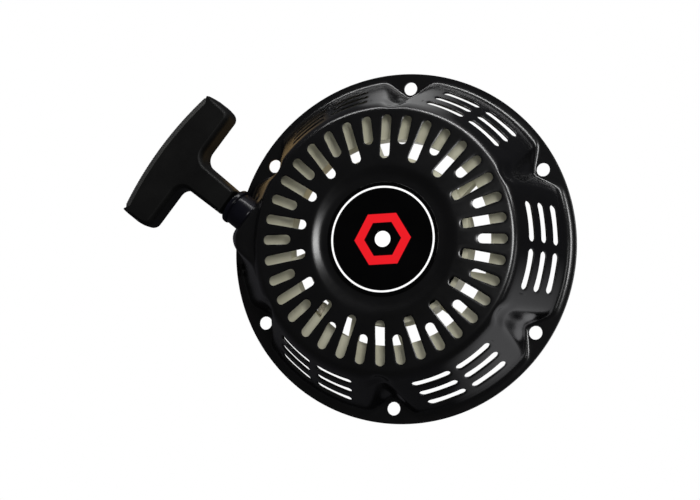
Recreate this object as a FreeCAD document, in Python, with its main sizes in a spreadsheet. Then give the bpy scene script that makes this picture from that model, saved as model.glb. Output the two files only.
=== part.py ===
# Recoil starter for a small engine: pressed steel case, rope reel, recoil spring, ratchets and T handle.
# Frame: the flange's mounting face is z = 0 with its bolt circle centred on the origin, +Z points out
# through the front of the case, and the rope is pulled along -X.
import FreeCAD, Part
import math
import os

import Sketcher
from FreeCAD import Placement, Rotation, Vector

doc = FreeCAD.newDocument("RecoilStarter")

# ---------------------------------------------------------------- driving dimensions (mm and degrees)
DIMENSIONS = {
    # pressed case
    "flange_radius": 104.0,
    "sheet_thickness": 1.6,
    "foot_radius": 99.9,
    "wall_lean": 0.5233,        # radius lost for each millimetre of height
    "rim_radius": 77.8,
    "rim_height": 41.8,
    "face_slope": 0.12,         # height lost for each millimetre of radius
    "crown_radius": 43.0,
    "crown_height": 46.0,
    "dish_radius": 37.0,
    "dish_height": 43.8,
    "rim_fillet": 6.5,
    "dish_fillet": 2.0,
    "bolt_circle_radius": 95.0,
    "bolt_hole_radius": 4.0,
    "bolt_count": 6,
    "bolt_start_angle": 5.4,
    "scoop_foot_centre": 115.2,
    "scoop_foot_radius": 27.5,
    "scoop_top_centre": 83.4,
    "scoop_top_radius": 4.0,
    "scoop_height": 38.5,
    # face and wall slots
    "slot_width": 5.5,
    "slot_outer_end": 72.5,
    "long_slot_inner_end": 46.5,
    "short_slot_inner_end": 55.5,
    "slot_count": 18,
    "long_slot_angle": 7.0,
    "wall_slot_width": 4.3,
    "wall_slot_length": 23.5,
    "wall_slot_low": 11.1,
    "wall_slot_rise": 9.65,
    # rope outlet
    "rope_radius": 2.0,
    "rope_line_y": -40.5,
    "rope_line_z": 24.0,
    "outlet_face_x": -82.4,
    "outlet_height": 36.5,
    "outlet_corner_radius": 98.6,
    "outlet_taper_radius": 84.0,
    "outlet_hole_radius": 8.0,
    "seat_width": 24.4,
    "seat_floor": 12.4,
    "guide_flange_radius": 10.8,
    "guide_body_radius": 10.2,
    "guide_bore_radius": 2.8,
    "guide_end_x": -93.2,
    # badge, post, screw and reel
    "badge_radius": 33.0,
    "badge_thickness": 0.4,
    "post_collar_radius": 18.0,
    "post_collar": 3.0,
    "washer_radius": 10.0,
    "washer_bottom": 3.0,
    "screw_head_height": 2.6,
    "screw_head_flats": 13.0,
    "screw_tip": 29.0,
    "post_radius": 11.0,
    "post_end": 9.0,
    "thread_radius": 4.0,
    "shoulder_radius": 6.0,
    "running_clearance": 0.06,
    "reel_window_radius": 60.0,
    "reel_core_radius": 61.5,
    "reel_flange_radius": 78.5,
    "reel_lip": 1.5,
    "reel_lip_taper": 0.6,
    "spoke_width": 4.5,
    "spoke_depth": 7.5,
    "reel_bottom": 18.5,
    "reel_top": 29.5,
    "hub_inner_radius": 46.0,
    "hub_outer_radius": 49.0,
    "hub_floor": 20.5,
    "hub_web": 3.0,
    "boss_radius": 14.5,
    "boss_bottom": 12.0,
    "hub_top": 37.5,
    "wound_radius": 76.2,
    "wound_pitch": 4.04,
    "wound_turns": 3.055,
    # spring and ratchets
    "spring_strip": 0.7,
    "spring_bottom": 24.0,
    "spring_height": 11.0,
    "ratchet_post_radius": 4.0,
    "ratchet_post_circle": 26.0,
    "ratchet_bottom": 9.0,
    "ratchet_thickness": 5.0,
    "ratchet_swing": 25.0,
    "guide_turn": 20.0,
    # handle
    "handle_start_x": -93.8,
    "handle_bar_length": 84.0,
    "handle_bar_inner_x": -124.5,
    "handle_bar_outer_x": -146.0,
    "handle_bulge_x": -153.5,
    "handle_thickness": 19.0,
    "stem_half_width": 8.8,
}

sheet = doc.addObject("Spreadsheet::Sheet", "Sizes")
for row, (alias, amount) in enumerate(DIMENSIONS.items(), start=1):
    sheet.set(f"A{row}", alias.replace("_", " "))
    sheet.set(f"B{row}", str(amount))
    sheet.setAlias(f"B{row}", alias)
doc.recompute()


class Size:
    """A number together with the spreadsheet formula that gives it."""

    def __init__(self, value, formula):
        self.value = value
        self.formula = formula

    def join(self, other, sign, value):
        return Size(value, f"({self.formula} {sign} {as_size(other).formula})")

    def __add__(self, other):
        return self.join(other, "+", self.value + as_size(other).value)

    def __sub__(self, other):
        return self.join(other, "-", self.value - as_size(other).value)

    def __mul__(self, other):
        return self.join(other, "*", self.value * as_size(other).value)

    def __truediv__(self, other):
        return self.join(other, "/", self.value / as_size(other).value)

    def __neg__(self):
        return Size(-self.value, f"(0 - {self.formula})")

    __radd__ = __add__


def as_size(amount):
    """A Size for a plain number, and the Size itself otherwise."""
    return amount if isinstance(amount, Size) else Size(float(amount), f"{float(amount):.6f}")


def size(alias):
    """The Size behind one spreadsheet cell."""
    return Size(float(sheet.get(alias)), f"Sizes.{alias}")


def num(alias):
    """The plain number in one spreadsheet cell."""
    return float(sheet.get(alias))


def bind(thing, **formulas):
    """Set properties of a document object from sizes, and keep them bound to the spreadsheet."""
    for prop, amount in formulas.items():
        value = as_size(amount).value
        setattr(thing, prop, int(value) if prop == "Occurrences" else value)
        thing.setExpression(prop, as_size(amount).formula)


# ---------------------------------------------------------------- modelling helpers
def new_body(label):
    body = doc.addObject("PartDesign::Body", label)
    body.Label = label
    return body


def origin_plane(body, role):
    return next(item for item in body.Origin.OriginFeatures if item.Role == role)


def new_sketch(body, name, role, offset=Placement()):
    sketch = body.newObject("Sketcher::SketchObject", name)
    sketch.AttachmentSupport = (origin_plane(body, role), [""])
    sketch.MapMode = "FlatFace"
    sketch.AttachmentOffset = offset
    return sketch


def pin_point(sketch, edge, end, across, up):
    """Fix one end of a sketch edge at a place given by two sizes."""
    for kind, amount in (("DistanceX", as_size(across)), ("DistanceY", as_size(up))):
        index = sketch.addConstraint(Sketcher.Constraint(kind, -1, 1, edge, end, amount.value))
        sketch.setExpression(f"Constraints[{index}]", amount.formula)


def draw_outline(sketch, points):
    """Closed outline through the points; a point with a third item is reached by an arc through it."""
    places = [Vector(as_size(p[0]).value, as_size(p[1]).value) for p in points]
    count = len(points)
    ends = []
    round_ends = set()          # half circles, held by being tangent to the edge before them
    for i in range(count):
        start, stop = places[i], places[(i + 1) % count]
        via = points[(i + 1) % count][2] if len(points[(i + 1) % count]) > 2 else None
        if via is None:
            edge = sketch.addGeometry(Part.LineSegment(start, stop), False)
            ends.append((edge, 1, 2))
        else:
            middle = Vector(*via)
            anticlockwise = (middle - start).cross(stop - middle).z > 0
            arc = Part.Arc(start, middle, stop) if anticlockwise else Part.Arc(stop, middle, start)
            edge = sketch.addGeometry(arc, False)
            ends.append((edge, 1, 2) if anticlockwise else (edge, 2, 1))
            radius = sketch.Geometry[edge].Radius
            if abs(radius - start.distanceToPoint(stop) / 2) < 1e-6:
                round_ends.add(edge)
            else:
                sketch.addConstraint(Sketcher.Constraint("Radius", edge, radius))
    for i in range(count):
        edge, _, last = ends[i]
        following, first, _ = ends[(i + 1) % count]
        joined = "Tangent" if following in round_ends else "Coincident"
        sketch.addConstraint(Sketcher.Constraint(joined, edge, last, following, first))
        pin_point(sketch, following, first, *points[(i + 1) % count][:2])


def draw_circle(sketch, centre_x, centre_y, radius):
    place = Vector(as_size(centre_x).value, as_size(centre_y).value)
    edge = sketch.addGeometry(Part.Circle(place, Vector(0, 0, 1), as_size(radius).value), False)
    pin_point(sketch, edge, 3, centre_x, centre_y)
    index = sketch.addConstraint(Sketcher.Constraint("Radius", edge, as_size(radius).value))
    sketch.setExpression(f"Constraints[{index}]", as_size(radius).formula)


def revolve(body, name, points):
    """Turned solid: the outline is given as (radius, height) round the body's Z axis."""
    sketch = new_sketch(body, name + "Profile", "XZ_Plane")
    draw_outline(sketch, points)
    turn = body.newObject("PartDesign::Revolution", name)
    turn.Profile = sketch
    turn.ReferenceAxis = (sketch, ["V_Axis"])
    turn.Angle = 360.0
    return turn


def pad(body, name, draw, height, offset=Placement()):
    """Raise whatever the draw function puts on an XY sketch by the given height."""
    sketch = new_sketch(body, name + "Outline", "XY_Plane", offset)
    draw(sketch)
    feature = body.newObject("PartDesign::Pad", name)
    feature.Profile = sketch
    bind(feature, Length=height)
    return feature


def polar_pattern(body, name, originals, count, angle=360.0):
    pattern = body.newObject("PartDesign::PolarPattern", name)
    pattern.Originals = originals
    pattern.Axis = (origin_plane(body, "Z_Axis"), [""])
    pattern.Angle = angle
    bind(pattern, Occurrences=count)
    body.Tip = pattern
    return pattern


def at(x=0.0, y=0.0, z=0.0, axis=Vector(0, 0, 1), angle=0.0):
    return Placement(Vector(x, y, z), Rotation(axis, angle))


def plain_solid(label, shape, placement=Placement()):
    """A solid that the feature objects do not cover, such as a strip spring or a bent wire."""
    solid = doc.addObject("Part::Feature", label)
    solid.Shape = shape
    solid.Placement = placement
    solid.Label = label
    return solid


def cylinder(name, radius, height, placement):
    tool = doc.addObject("Part::Cylinder", name)
    bind(tool, Radius=radius, Height=height)
    tool.Placement = placement
    return tool


def cut(label, base, *tools):
    """Base less all the tools, as one object."""
    tool = tools[0]
    if len(tools) > 1:
        tool = doc.addObject("Part::MultiFuse", label + "Cutters")
        tool.Shapes = list(tools)
    result = doc.addObject("Part::Cut", label)
    result.Base = base
    result.Tool = tool
    result.Label = label
    return result


def fuse(label, *shapes):
    result = doc.addObject("Part::MultiFuse", label)
    result.Shapes = list(shapes)
    result.Label = label
    return result


def wire_tube(points, radius, bend):
    """Round bar along straight runs through the points, with a tangent arc at each corner."""
    edges = []
    start = points[0]
    for before, corner, after in zip(points, points[1:], points[2:]):
        into, out = (corner - before).normalize(), (after - corner).normalize()
        turn = into.getAngle(out)
        reach = bend * math.tan(turn / 2)
        first, last = corner - into * reach, corner + out * reach
        inward = (out - into).normalize()
        middle = corner + inward * (bend / math.cos(turn / 2) - bend)
        edges.append(Part.LineSegment(start, first).toShape())
        edges.append(Part.Arc(first, middle, last).toShape())
        start = last
    edges.append(Part.LineSegment(start, points[-1]).toShape())
    path = Part.Wire(edges)
    heading = (points[1] - points[0]).normalize()
    ring = Part.Wire([Part.Circle(points[0], heading, radius).toShape()])
    return path.makePipeShell([ring], True, False)


SUBPARTS = []


def keep(thing):
    """Mark one object as a finished sub-part."""
    SUBPARTS.append(thing)
    return thing


# ---------------------------------------------------------------- pressed case
def bell(label, inset):
    """Solid bell with the case's outer form, or its inner form when inset is the sheet's thickness."""
    body = new_body(label)
    lean, rise = num("wall_lean"), num("face_slope")
    side = inset * math.sqrt(1 + lean ** 2)
    drop = inset * math.sqrt(1 + rise ** 2)
    foot = size("foot_radius") - side
    face_drop = size("rim_height") - drop
    # the corner is where the leaning wall meets the shallow cone of the front face
    corner = (foot - size("wall_lean") * (face_drop + size("rim_radius") * rise)) / (1 - lean * rise)
    top = face_drop - (corner - size("rim_radius")) * rise
    crown = size("crown_height") - drop
    revolve(body, label + "Turn", [
        (0, 0),
        (foot, 0),
        (corner, top),
        (size("crown_radius") - inset / 2, crown),
        (size("dish_radius") - inset / 2, size("dish_height") - inset),
        (0, size("dish_height") - inset),
    ])
    # rope outlet: a boxed lobe with a flat end that the rope guide sits against
    reach = size("outlet_corner_radius") - inset
    face = size("outlet_face_x") + inset

    def outlet_outline(sketch):
        far, near = math.radians(229.0), math.radians(216.8)
        radius = reach.value
        taper = (size("outlet_taper_radius") - inset).value
        draw_outline(sketch, [
            (-48, -60),
            (-58, -18),
            (face, -26 - inset / 2),
            (face, -53),
            (radius * math.cos(near), radius * math.sin(near)),
            (taper * math.cos(far), taper * math.sin(far)),
        ])

    pad(body, label + "Outlet", outlet_outline, size("outlet_height") - inset)
    # scoops that give each flange bolt room for a spanner: cones leaning in towards the rim
    foot_centre = Vector(num("scoop_foot_centre"), 0, 0)
    top_centre = Vector(num("scoop_top_centre"), 0, num("scoop_height"))
    lean_angle = math.degrees(math.atan2(top_centre.x - foot_centre.x, top_centre.z))
    scoops = []
    for i in range(int(num("bolt_count"))):
        around = Rotation(Vector(0, 0, 1), num("bolt_start_angle") + 60.0 * i)
        leaning = around.multiply(Rotation(Vector(0, 1, 0), lean_angle))
        scoop = doc.addObject("Part::Cone", f"{label}Scoop{i + 1}")
        bind(scoop, Radius1=size("scoop_foot_radius") + inset, Radius2=size("scoop_top_radius") + inset)
        scoop.Height = (top_centre - foot_centre).Length
        scoop.Placement = Placement(around.multVec(foot_centre), leaning)
        scoops.append(scoop)
    # flat seat for the rope guide, square to the rope
    seat = doc.addObject("Part::Box", label + "GuideSeat")
    seat.Length = 40.0
    bind(seat, Width=size("seat_width") + 2 * inset, Height=60)
    seat.Placement = at(face.value - 40.0, num("rope_line_y") - num("seat_width") / 2 - inset,
                        num("seat_floor") - inset)
    return cut(label + "Scooped", body, seat, *scoops)


outer_bell = bell("OuterBell", 0.0)
inner_bell = bell("InnerBell", num("sheet_thickness"))
flange_disc = cylinder("FlangeDisc", size("flange_radius"), size("sheet_thickness"), Placement())
case_solid = fuse("CaseSolid", outer_bell, flange_disc)
case_shell = cut("CaseShell", case_solid, inner_bell)
doc.recompute()

face_cutters = new_body("FaceSlotCutters")


def radial_slots(name, inner_end, angle):
    """One ring of radial slots through the front face."""
    def draw(sketch):
        half = size("slot_width") / 2
        near, far = inner_end + half, size("slot_outer_end") - half
        draw_outline(sketch, [
            (near, -half, (inner_end.value, 0)),
            (far, -half),
            (far, half, (num("slot_outer_end"), 0)),
            (near, half),
        ])
    feature = pad(face_cutters, name, draw, 20, at(z=35, angle=angle))
    return polar_pattern(face_cutters, name + "Ring", [feature], size("slot_count"))


radial_slots("LongSlot", size("long_slot_inner_end"), num("long_slot_angle"))
radial_slots("ShortSlot", size("short_slot_inner_end"), num("long_slot_angle") + 10.0)


def bolt_hole(sketch):
    angle = math.radians(num("bolt_start_angle"))
    radius = num("bolt_circle_radius")
    draw_circle(sketch, radius * math.cos(angle), radius * math.sin(angle), size("bolt_hole_radius"))


hole_cutters = new_body("BoltHoleCutters")
first_hole = pad(hole_cutters, "BoltHole", bolt_hole, 10, at(z=-5))
polar_pattern(hole_cutters, "BoltHoles", [first_hole], size("bolt_count"))

# wall slots: two columns of three in each lobe but the rope's, cut square to the leaning wall
LOBE_ANGLE = num("bolt_start_angle") + 30.0
ROPE_LOBE = 3
WALL_TILT = math.degrees(math.atan(num("wall_lean")))
wall_cutters = new_body("WallSlotCutters")


def wall_slot(sketch):
    half_width = size("wall_slot_width") / 2
    half_length = size("wall_slot_length") / 2
    straight = half_length - half_width
    draw_outline(sketch, [
        (-half_width, -straight),
        (half_width, -straight, (0, -half_length.value)),
        (half_width, straight),
        (-half_width, straight, (0, half_length.value)),
    ])


wall_slots = []
for side in (-1, 1):
    for level, column_angle in enumerate((8.6, 9.2, 9.5)):
        height = num("wall_slot_low") + level * num("wall_slot_rise")
        radius = num("foot_radius") - num("wall_lean") * height
        turn = Rotation(Vector(0, 0, 1), LOBE_ANGLE + 60.0 * (ROPE_LOBE + 1) + side * column_angle)
        square = turn.multiply(Rotation(Vector(0, 1, 0), 90.0 - WALL_TILT))
        on_wall = turn.multVec(Vector(radius, 0, height)) - square.multVec(Vector(0, 0, 5))
        place = Placement(on_wall, square)
        wall_slots.append(pad(wall_cutters, f"WallSlot{len(wall_slots) + 1}", wall_slot, 10, place))
polar_pattern(wall_cutters, "WallSlots", wall_slots, 5, 240.0)

outlet_tool = cylinder("OutletHole", size("outlet_hole_radius"), 12,
                       at(num("outlet_face_x") - 6, num("rope_line_y"), num("rope_line_z"),
                          Vector(0, 1, 0), 90.0))
housing = cut("housing", case_shell, face_cutters, hole_cutters, wall_cutters, outlet_tool)
keep(housing)

# ---------------------------------------------------------------- badge, post, screw and rope guide
face_badge = new_body("face_badge")
revolve(face_badge, "BadgeDisc", [
    (0, size("dish_height")),
    (size("badge_radius"), size("dish_height")),
    (size("badge_radius"), size("dish_height") + size("badge_thickness")),
    (0, size("dish_height") + size("badge_thickness") * 1.5),
])
keep(face_badge)

post_top = size("dish_height") - size("sheet_thickness")
centre_post = new_body("centre_post")
revolve(centre_post, "PostTurn", [
    (size("thread_radius"), size("post_end")),
    (size("post_radius") - 1, size("post_end")),
    (size("post_radius"), size("post_end") + 1),
    (size("post_radius"), post_top - size("post_collar")),
    (size("post_collar_radius"), post_top - size("post_collar")),
    (size("post_collar_radius"), post_top),
    (size("thread_radius"), post_top),
])
keep(centre_post)

centre_screw = new_body("centre_screw")
washer_top = size("washer_bottom") + 1
revolve(centre_screw, "ScrewTurn", [
    (0, size("washer_bottom")),
    (size("washer_radius"), size("washer_bottom")),
    (size("washer_radius"), washer_top),
    (size("shoulder_radius"), washer_top),
    (size("shoulder_radius"), size("post_end")),
    (size("thread_radius"), size("post_end")),
    (size("thread_radius"), size("screw_tip") - 1),
    (size("thread_radius") - 1, size("screw_tip")),
    (0, size("screw_tip")),
])


def hexagon(sketch):
    corner = num("screw_head_flats") / math.sqrt(3)
    turns = [math.radians(60 * i) for i in range(6)]
    draw_outline(sketch, [(corner * math.cos(turn), corner * math.sin(turn)) for turn in turns])


pad(centre_screw, "ScrewHead", hexagon, size("screw_head_height"),
    at(z=num("washer_bottom") - num("screw_head_height")))
keep(centre_screw)

# the guide is turned about the rope's line: its body's Z axis points along -X, out of the case
guide_length = size("outlet_face_x") - size("guide_end_x")
rope_guide = new_body("rope_guide")
revolve(rope_guide, "GuideTurn", [
    (size("guide_bore_radius"), -2.0),
    (size("guide_bore_radius") + 2.0, -4.6),
    (size("outlet_hole_radius") + 0.6, -4.6),
    (size("outlet_hole_radius") + 0.6, -2.6),
    (size("outlet_hole_radius"), -1.7),
    (size("outlet_hole_radius"), 0),
    (size("guide_body_radius"), 0),
    (size("guide_body_radius"), guide_length - 3.4),
    (size("guide_flange_radius"), guide_length - 2.8),
    (size("guide_flange_radius"), guide_length - 0.8),
    (size("guide_flange_radius") - 0.8, guide_length),
    (size("guide_bore_radius") + 1.6, guide_length),
    (size("guide_bore_radius"), guide_length - 1.6),
])
rope_guide.Placement = at(num("outlet_face_x"), num("rope_line_y"), num("rope_line_z"),
                          Vector(0, 1, 0), -90.0)
keep(rope_guide)

# ---------------------------------------------------------------- reel
hub = new_body("ReelHub")
revolve(hub, "HubTurn", [
    (size("post_radius") + size("running_clearance"), size("boss_bottom")),
    (size("boss_radius"), size("boss_bottom")),
    (size("boss_radius"), size("hub_floor")),
    (size("hub_outer_radius"), size("hub_floor")),
    (size("hub_outer_radius"), size("hub_top")),
    (size("hub_inner_radius"), size("hub_top")),
    (size("hub_inner_radius"), size("hub_floor") + size("hub_web")),
    (size("post_radius") + size("running_clearance"), size("hub_floor") + size("hub_web")),
])
channel = new_body("ReelChannel")
lip_root = size("reel_lip") + size("reel_lip_taper")
revolve(channel, "ChannelTurn", [
    (size("reel_window_radius"), size("reel_bottom")),
    (size("reel_flange_radius"), size("reel_bottom")),
    (size("reel_flange_radius"), size("reel_bottom") + size("reel_lip")),
    (size("reel_core_radius"), size("reel_bottom") + lip_root),
    (size("reel_core_radius"), size("reel_top") - lip_root),
    (size("reel_flange_radius"), size("reel_top") - size("reel_lip")),
    (size("reel_flange_radius"), size("reel_top")),
    (size("reel_window_radius"), size("reel_top")),
])
# spokes lean away from the radius, and are not evenly spaced
SPOKE_ANGLES = (136, 71, 14, -12, -46, -77, -97, 225, 191)
SPOKE_LEAN = 14.0
spokes = []
for i, spoke_angle in enumerate(SPOKE_ANGLES, start=1):
    spoke = doc.addObject("Part::Box", f"Spoke{i}")
    bind(spoke, Length=size("reel_window_radius") - size("hub_outer_radius") + 3,
         Width=size("spoke_width"), Height=size("spoke_depth"))
    around = Rotation(Vector(0, 0, 1), spoke_angle)
    start = around.multVec(Vector(num("hub_outer_radius") - 1.6, -num("spoke_width") / 2,
                                   num("hub_floor")))
    spoke.Placement = Placement(start, Rotation(Vector(0, 0, 1), spoke_angle + SPOKE_LEAN))
    spokes.append(spoke)

RATCHET_ANGLES = {"a": 20.0, "b": 200.0}
RATCHET_POST_BOTTOM = 8.7
posts = []
for letter, ratchet_angle in RATCHET_ANGLES.items():
    place = Rotation(Vector(0, 0, 1), ratchet_angle).multVec(Vector(num("ratchet_post_circle"), 0,
                                                               RATCHET_POST_BOTTOM))
    posts.append(cylinder("RatchetPost" + letter.upper(), size("ratchet_post_radius"),
                          size("hub_floor") - RATCHET_POST_BOTTOM + 0.5, Placement(place, Rotation())))

# ---------------------------------------------------------------- rope, along its real route
rope_z = num("rope_line_z")
guide_corner = Vector(-74.0, num("rope_line_y"), 0)
wound = num("wound_radius")
corner_angle = math.atan2(guide_corner.y, guide_corner.x)
opening = math.acos(wound / guide_corner.Length)
touch_angle = corner_angle + opening
touch = Vector(wound * math.cos(touch_angle), wound * math.sin(touch_angle), 0)


def spiral(start_angle, start_radius, step, turns):
    """Half circles joined smoothly, each smaller by step, as (centre, radius, angles) from the outside in."""
    arcs = []
    centre, radius, angle, left = Vector(0, 0, 0), start_radius, start_angle, turns * 2
    while left > 1e-6:
        sweep = math.pi * min(left, 1.0)
        arcs.append((centre, radius, angle, angle + sweep))
        angle += sweep
        left -= 1.0
        centre = centre + Vector(math.cos(angle), math.sin(angle), 0) * step
        radius -= step
    return arcs


def arc_edge(centre, radius, first, last, z=0.0):
    def place(angle):
        return centre + Vector(radius * math.cos(angle), radius * math.sin(angle), z)
    return Part.Arc(place(first), place((first + last) / 2), place(last)).toShape()


rope_arcs = spiral(touch_angle, wound, num("wound_pitch") / 2, num("wound_turns"))
last_centre, last_radius, _, last_angle = rope_arcs[-1]
rope_end = last_centre + Vector(math.cos(last_angle), math.sin(last_angle), 0) * last_radius
heading = Vector(-math.sin(last_angle), math.cos(last_angle), 0)
inward = Vector(-math.cos(last_angle), -math.sin(last_angle), 0)
TAIL_BEND = 4.6                 # the rope turns in through the core to its knot
tail_turn = math.radians(70)
tail_middle = (rope_end + heading * (TAIL_BEND * math.sin(tail_turn / 2))
               + inward * (TAIL_BEND * (1 - math.cos(tail_turn / 2))))
tail_start = (rope_end + heading * (TAIL_BEND * math.sin(tail_turn))
              + inward * (TAIL_BEND * (1 - math.cos(tail_turn))))
tail_heading = heading * math.cos(tail_turn) + inward * math.sin(tail_turn)
TAIL_LENGTH = 2.2
tail_end = tail_start + tail_heading * TAIL_LENGTH
lift = Vector(0, 0, rope_z)
wound_edges = [arc_edge(*arc, z=rope_z) for arc in rope_arcs]
wound_edges.append(Part.Arc(rope_end + lift, tail_middle + lift, tail_start + lift).toShape())
wound_edges.append(Part.LineSegment(tail_start + lift, tail_end + lift).toShape())
touch_heading = Vector(-math.sin(touch_angle), math.cos(touch_angle), 0)
rope_ring = Part.Wire([Part.Circle(touch + lift, touch_heading, num("rope_radius")).toShape()])
rope_wound = plain_solid("rope_wound", Part.Wire(wound_edges).makePipeShell([rope_ring], True, False))
keep(rope_wound)
print("wound rope", round(Part.Wire(wound_edges).Length, 1), "mm, tail angle",
      round(math.degrees(last_angle) % 360, 1))

KNOT_RADIUS = 4.2
knot_place = tail_end + tail_heading * (KNOT_RADIUS - 0.6) + lift
knot_ball = Part.makeSphere(KNOT_RADIUS, knot_place)
reel_knot = plain_solid("reel_knot", knot_ball.cut(rope_wound.Shape))
keep(reel_knot)

tail_hole = doc.addObject("Part::Cylinder", "TailHole")
tail_hole.Radius = num("rope_radius") + 1.3
tail_hole.Height = 16.0
tail_hole.Placement = Placement(tail_end + lift - tail_heading * 6.0,
                                Rotation(Vector(0, 0, 1), tail_heading))
knot_pocket = doc.addObject("Part::Sphere", "KnotPocket")
knot_pocket.Radius = KNOT_RADIUS + 0.4
knot_pocket.Placement = Placement(knot_place, Rotation())
reel_solid = fuse("ReelSolid", hub, channel, *spokes, *posts)
reel = cut("reel", reel_solid, tail_hole, knot_pocket)
keep(reel)

# ---------------------------------------------------------------- recoil spring
spring_arcs = spiral(math.radians(150), num("hub_inner_radius") - 0.5, 0.8, 6)
centre, radius, _, angle = spring_arcs[-1]
angle_in = angle
SPAN_STEP = 6.2                 # the inner coils open out between the packed coils and the post
centre = centre + Vector(math.cos(angle_in), math.sin(angle_in), 0) * SPAN_STEP
inner_radius = radius - SPAN_STEP
for _ in range(4):
    if inner_radius < num("post_radius") + 1:
        break
    spring_arcs.append((centre, inner_radius, angle_in, angle_in + math.pi))
    angle_in += math.pi
    centre = centre + Vector(math.cos(angle_in), math.sin(angle_in), 0) * SPAN_STEP
    inner_radius -= SPAN_STEP
half_strip = num("spring_strip") / 2
outside = [arc_edge(c, r + half_strip, first, last) for c, r, first, last in spring_arcs]
inside = [arc_edge(c, r - half_strip, first, last) for c, r, first, last in reversed(spring_arcs)]


def edge_end(arc, offset, last):
    c, r, first, final = arc
    a = final if last else first
    return c + Vector((r + offset) * math.cos(a), (r + offset) * math.sin(a), 0)


inner_cap = Part.LineSegment(edge_end(spring_arcs[-1], half_strip, True),
                             edge_end(spring_arcs[-1], -half_strip, True)).toShape()
outer_cap = Part.LineSegment(edge_end(spring_arcs[0], -half_strip, False),
                             edge_end(spring_arcs[0], half_strip, False)).toShape()
spring_face = Part.Face(Part.Wire(Part.__sortEdges__(outside + [inner_cap] + inside + [outer_cap])))
recoil_spring = plain_solid("recoil_spring", spring_face.extrude(Vector(0, 0, num("spring_height"))),
                            at(z=num("spring_bottom")))
keep(recoil_spring)

# ---------------------------------------------------------------- ratchets, their springs and the guide plate
PIN_ALONG = 13.0                # where the ratchet's pin sits, from its pivot towards its tip
PIN_RADIUS = 1.6
TIP_ANGLE = -97.7               # direction from pivot to tip, with the pivot on the X axis
GUIDE_BOTTOM = 5.8
GUIDE_TOP = 8.4
GUIDE_RADIUS = 33.0
GUIDE_BOSS_RADIUS = 12.0


def ratchet(letter, angle):
    """Pivoted steel finger with a pin that rides in the guide plate's cam slot."""
    body = new_body("RatchetBody" + letter.upper())

    def nose(sketch):
        draw_outline(sketch, [(0, -7, (-7, 0)), (21, -5), (31, -5.5), (32, 3.5), (19, 5), (0, 7)])
    pad(body, "Ratchet" + letter.upper() + "Arm", nose, size("ratchet_thickness"),
        at(z=num("ratchet_bottom")))

    def pin(sketch):
        draw_circle(sketch, PIN_ALONG, 0, PIN_RADIUS)
    pad(body, "Ratchet" + letter.upper() + "Pin", pin, size("ratchet_bottom") + 0.5 - GUIDE_BOTTOM,
        at(z=GUIDE_BOTTOM))
    pivot = Vector(num("ratchet_post_circle"), 0, 0)
    around = Rotation(Vector(0, 0, 1), angle)
    body.Placement = Placement(around.multVec(pivot), Rotation(Vector(0, 0, 1), angle + TIP_ANGLE))
    bore = cylinder("RatchetBore" + letter.upper(),
                    size("ratchet_post_radius") + size("running_clearance"), 20,
                    Placement(around.multVec(pivot), Rotation()))
    return cut("ratchet_" + letter, body, bore)


def cam_slot(angle):
    """Cutter along the path that a ratchet's pin takes across the guide plate."""
    pivot = Vector(num("ratchet_post_circle"), 0, 0)
    arm = Vector(math.cos(math.radians(TIP_ANGLE)), math.sin(math.radians(TIP_ANGLE)), 0) * PIN_ALONG

    def pin_place(share):
        swung = pivot + Rotation(Vector(0, 0, 1), num("ratchet_swing") * share).multVec(arm)
        return Rotation(Vector(0, 0, 1), angle - num("guide_turn") * share).multVec(swung)
    path = Part.Wire([Part.Arc(pin_place(-0.02), pin_place(0.5), pin_place(1.02)).toShape()])
    face = Part.Face(path.makeOffset2D(PIN_RADIUS + 0.35, 0, False, False, True).Wires[0])
    return face.extrude(Vector(0, 0, 10))


for letter, ratchet_angle in RATCHET_ANGLES.items():
    keep(ratchet(letter, ratchet_angle))

guide_blank = new_body("GuideBlank")
revolve(guide_blank, "GuideTurnedPlate", [
    (size("shoulder_radius") + size("running_clearance"), GUIDE_BOTTOM),
    (GUIDE_RADIUS, GUIDE_BOTTOM),
    (GUIDE_RADIUS, GUIDE_TOP),
    (GUIDE_BOSS_RADIUS, GUIDE_TOP),
    (GUIDE_BOSS_RADIUS, size("post_end") - 0.15),
    (size("shoulder_radius") + size("running_clearance"), size("post_end") - 0.15),
])
cam_tools = [plain_solid(f"CamSlot{letter.upper()}", cam_slot(angle))
             for letter, angle in RATCHET_ANGLES.items()]
ratchet_guide = cut("ratchet_guide", guide_blank, *cam_tools)
keep(ratchet_guide)

RING_RADIUS = 8.2
RING_WIRE = 0.65
ring_z = 4.0 + 0.25 + RING_WIRE
loop = Part.Arc(Vector(RING_RADIUS * math.cos(0.35), RING_RADIUS * math.sin(0.35), ring_z),
                Vector(-RING_RADIUS, 0, ring_z),
                Vector(RING_RADIUS * math.cos(0.35), -RING_RADIUS * math.sin(0.35), ring_z)).toShape()
loop_start = loop.Vertexes[0].Point
loop_profile = Part.Wire([Part.Circle(loop_start, loop.tangentAt(loop.FirstParameter), RING_WIRE).toShape()])
keep(plain_solid("friction_spring", Part.Wire([loop]).makePipeShell([loop_profile], True, False)))

COIL_RADIUS = 5.4
COIL_WIRE = 0.45
for letter, ratchet_angle in RATCHET_ANGLES.items():
    rings = [Part.makeTorus(COIL_RADIUS, COIL_WIRE, Vector(0, 0, 14.8 + 0.88 * turn)) for turn in range(6)]
    coil = rings[0].multiFuse(rings[1:])
    leg = Part.makeCylinder(COIL_WIRE, 16, Vector(COIL_RADIUS, 0, 14.8), Vector(0, -1, 0))
    around = Rotation(Vector(0, 0, 1), ratchet_angle)
    place = around.multVec(Vector(num("ratchet_post_circle"), 0, 0))
    keep(plain_solid("ratchet_spring_" + letter, coil.fuse(leg), Placement(place, around)))

# ---------------------------------------------------------------- handle
HANDLE_CENTRE = Vector(0, num("rope_line_y"), rope_z)
half_bar = size("handle_bar_length") / 2


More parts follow.
